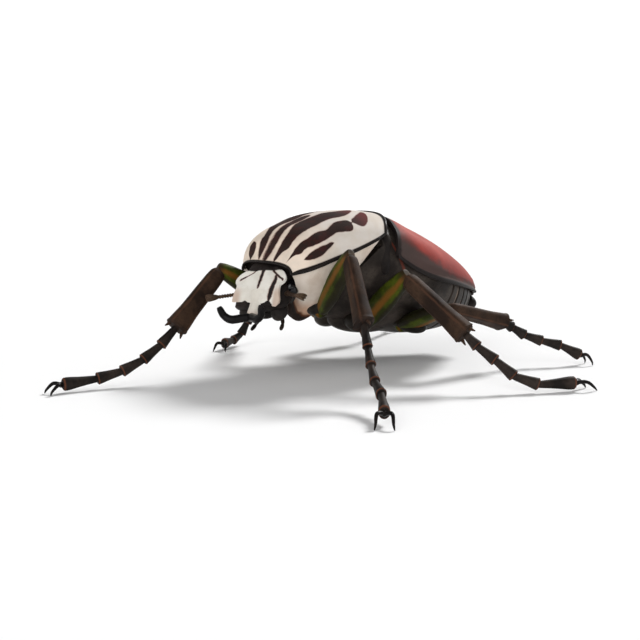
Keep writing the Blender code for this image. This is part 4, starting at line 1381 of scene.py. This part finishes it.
def leg_joint(name, start, end, outline, facing, flat, sides=40, rings=60, shape=None, fullness=2.0):
    """A tube from start to end; shape(angle, share) adds ridges and hollows in millimetres."""
    wide, thin, along = axes(end - start, facing)
    length = (end - start).length
    first, last = outline[0][0], outline[-1][0]

    def place(u, v):
        closing = min(v / 0.06, (1 - v) / 0.06, 1.0)
        share = first + (last - first) * min(max((v - 0.04) / 0.92, 0.0), 1.0)
        radius = through(outline, 1, share) * math.sqrt(max(1 - (1 - closing) ** 2, 0.0))
        angle = 2 * math.pi * u
        extra = shape(angle, share) if shape and closing == 1.0 else 0.0
        x = (radius + extra) * power(math.cos(angle), 2 / fullness)
        y = (radius * flat + extra) * power(math.sin(angle), 2 / fullness)
        return start + x * wide + y * thin + share * length * along

    return skin(name, sides, rings, place, wrap=True)


def bend_side(points, i):
    """Direction across the joint in which the leg bends at its end."""
    side = (points[i] - points[i - 1]).normalized() - (points[i + 1] - points[i]).normalized()
    return side if side.length > 0.05 else Vector((0, 0, 1))


print("leg rule ready")

# %% [markdown]
# ## Hips and thighs
# The hip is a rolling barrel set in the body, and the thigh swings from it. The thigh is broad and
# flat, with a blunt keel along its upper and lower edges, which the ridge term of the rule adds.

# %% Hips and thighs
def keeled(angle, share):
    edge = abs(math.cos(angle)) ** 12
    fade = hump(share, 0.5, 0.55)
    return 0.18 * edge * fade - 0.16 * abs(math.sin(angle)) ** 6 * fade


COXA_LEAN = math.radians(12.0)
TROCHANTER_RADII = (1.9, 1.9, 1.9)
coxae, femora = {}, {}
for name, points in legs.items():
    side = 1 if name.endswith("left") else -1
    centre, radii = COXAE[name.split("_")[0]]
    lean = Matrix.Rotation(side * COXA_LEAN, 4, "Y")
    coxae[name] = rounded("coxa_" + name, on_side(side, centre), radii, lean, segments=40, rings=24)
    facing = bend_side(points, 1)
    shaft = leg_joint(
        "femur_" + name, points[0], points[1], FEMUR, facing,
        flat=0.72, sides=44, rings=70, shape=keeled, fullness=2.3,
    )
    ball = rounded("trochanter", points[0], TROCHANTER_RADII, segments=28, rings=16)
    femora[name] = joined([shaft, ball], "femur_" + name)
print("femur", len(femora["fore_left"].data.polygons), "faces")

# %% [markdown]
# ## Shins
# The shin is a bar with four blunt edges that flares to its end, where it carries a pair of spurs.
# The male has a smooth fore shin, and one low tooth on the outer edge of the others.

# %% Shins
SHIN_TEETH = {"fore": (), "mid": (0.6,), "hind": (0.6,)}
SPUR_LENGTH, SPUR_RADIUS, SPUR_STEPS = 2.8, 0.68, 12


def shin_shape(teeth):
    def shape(angle, share):
        outer = max(-math.cos(angle), 0.0) ** 14
        bite = sum(0.4 * hump(share, at, 0.09) for at in teeth)
        flanks = hump(angle, math.pi / 2, 0.45) + hump(angle, 1.5 * math.pi, 0.45)
        groove = -0.2 * flanks * hump(share, 0.5, 0.45)
        return outer * bite + groove + 0.25 * hump(share, 0.985, 0.05)
    return shape


def spur(root, tip):
    radii = [SPUR_RADIUS * (1 - 0.8 * (i / SPUR_STEPS) ** 1.6) for i in range(SPUR_STEPS + 1)]
    return tube_along("spur", straight_route(root, tip, SPUR_STEPS), radii, sides=12)


tibiae = {}
for name, points in legs.items():
    knee, ankle = points[1], points[2]
    facing = bend_side(points, 1)
    out, across, along = axes(ankle - knee, facing)
    shape = shin_shape(SHIN_TEETH[name.split("_")[0]])
    start = knee + 0.03 * (ankle - knee)
    pieces = [leg_joint(
        "tibia_" + name, start, ankle, TIBIA, facing,
        flat=0.72, sides=56, rings=110, shape=shape, fullness=2.9,
    )]
    for lean in (-1, 1):
        root = ankle + out * lean * 1.5 - along * 1.4
        pieces.append(spur(root, root + along * SPUR_LENGTH + out * lean * 1.1 - across * 0.2))
    tibiae[name] = joined(pieces, "tibia_" + name)
print("tibia", len(tibiae["fore_left"].data.polygons), "faces")

# %% [markdown]
# ## Feet and claws
# A beetle's foot is five joints, each narrow where it starts and flared where it ends, so that the
# next one sits in its cup. The last joint is the longest and holds two hooked claws, and each claw
# stands on its tip. The model's claws end in a small flat, which keeps it standing.

# %% Feet and claws
UP = Vector((0, 0, 1))
CLAW = ((0, 0.5), (1, 0.44), (2, 0.3), (3, 0.12))
CLAW_SPREAD = 2.0
CLAW_FOOT = 0.14
CLAW_STEPS = 30
STALK_RADII = (0.75, 0.75, 0.7)


def cup(angle, share):
    return 0.1 * hump(share, 0.96, 0.05) + 0.08 * abs(math.cos(angle)) ** 8 * share


tarsi, claws = {}, {}
for name, points in legs.items():
    wrist, tips = points[7], points[8]
    pieces = []
    for start, end in zip(points[2:7], points[3:8]):
        outline = LAST_FOOT_JOINT if end == wrist else FOOT_JOINT
        inside = start - (end - start) * 0.02
        pieces.append(leg_joint(
            "foot", inside, end, outline, UP, flat=0.8, sides=28, rings=36, shape=cup, fullness=2.2,
        ))
    tarsi[name] = joined(pieces, "tarsus_" + name)
    ahead = Vector((tips.x - wrist.x, tips.y - wrist.y, 0.0))
    side = Vector((-ahead.y, ahead.x, 0.0)).normalized()
    hooks = [rounded("stalk", wrist + ahead * 0.08, STALK_RADII, segments=20, rings=12)]
    for lean in (-1, 1):
        tip = tips + side * lean * CLAW_SPREAD
        knuckle = wrist + ahead * 0.45 + side * lean * CLAW_SPREAD * 0.75 + UP * 0.25
        low = tip.lerp(knuckle, 0.42) + ahead.normalized() * 0.45
        path = smooth_route([wrist + ahead * 0.05, knuckle, low, tip + UP * CLAW_FOOT], CLAW_STEPS)
        hooks.append(tube_along("claw", path, sized(CLAW, CLAW_STEPS), sides=14))
    claws[name] = joined(hooks, "claws_" + name)
print("foot", len(tarsi["fore_left"].data.polygons), "claws", len(claws["fore_left"].data.polygons), "faces")

# %% [markdown]
# ## Leg finishes
# The thighs have a metallic green-olive side with an orange-brown stripe along the lower edge. The
# shins are dark brown with a rusty painted highlight along their edges, and every foot joint has a
# rusty painted highlight on its rim.
# The flat map says how far round and along each joint a point is, so the edges are easy to find.

# %% Leg finishes
def joint_map(tree):
    """How far towards the edges and the flanks of a joint a point faces, and its share along it."""
    around, share = flat_map(tree)
    turn = around * (2 * math.pi)
    return turn.math("COSINE"), turn.math("SINE"), share


def thigh_pattern(tree, base):
    edge, _, share = joint_map(tree)
    across = edge + wander(tree, 200.0, 0.5)
    stripe = 1 - ramp(abs(across + 0.22), 0.08, 0.42)
    base = blend(stripe * 0.85, base, colour(116, 74, 26))
    base = blend(ramp(abs(across), 0.72, 0.95) * 0.85, base, colour(34, 28, 22))
    ends = largest(1 - ramp(share, 0.03, 0.12), ramp(share, 0.86, 0.95))
    return blend(ends * 0.85, base, colour(48, 34, 24))


def shin_pattern(tree, base):
    edge, flank, share = joint_map(tree)
    wobble = wander(tree, 260.0, 0.25)
    # Painted highlight: the shin's four edges are lighter, a rusty brown.
    edge_highlight = ramp(abs(edge) * abs(flank) + wobble * 0.6, 0.455, 0.5)
    base = blend(edge_highlight * 0.4, base, colour(92, 62, 46))
    tip = ramp(share + wobble * 0.3, 0.9, 0.97)
    return blend(tip * 0.6, base, colour(30, 24, 22))


def foot_pattern(tree, base):
    share = flat_map(tree)[1]
    # Painted highlight: a rusty band on the rim at the end of each foot joint.
    rim = ramp(share, 0.89, 0.92) * (1 - ramp(share, 0.93, 0.96))
    return blend(rim * 0.6, base, colour(112, 66, 44))


LEG_SHELLS = (
    (coxae, shell("brown_black_hip", (28, 25, 22), (54, 47, 38), 0.45), "brown_black_shell"),
    (femora, shell("green_shell", (42, 48, 12), (78, 90, 18), 0.5, 1300.0, 0.25, 150.0, thigh_pattern,
                   Metallic=0.12), "green_shell"),
    (tibiae, shell("dark_brown_shell", (38, 27, 21), (68, 50, 38), 0.66, 1400.0, 0.3, 160.0, shin_pattern),
     "dark_brown_shell"),
    (tarsi, shell("brown_black_shell", (27, 23, 21), (56, 47, 42), 0.56, 1500.0, 0.3, 170.0, foot_pattern),
     "brown_black_shell"),
    (claws, shell("black_claw", (14, 12, 12), (34, 28, 26), 0.32, 2200.0, 0.12), "black_horn"),
)
for name in legs:
    for joints, finish, slot in LEG_SHELLS:
        settle(joints[name], finish, slot)
print("legs finished")
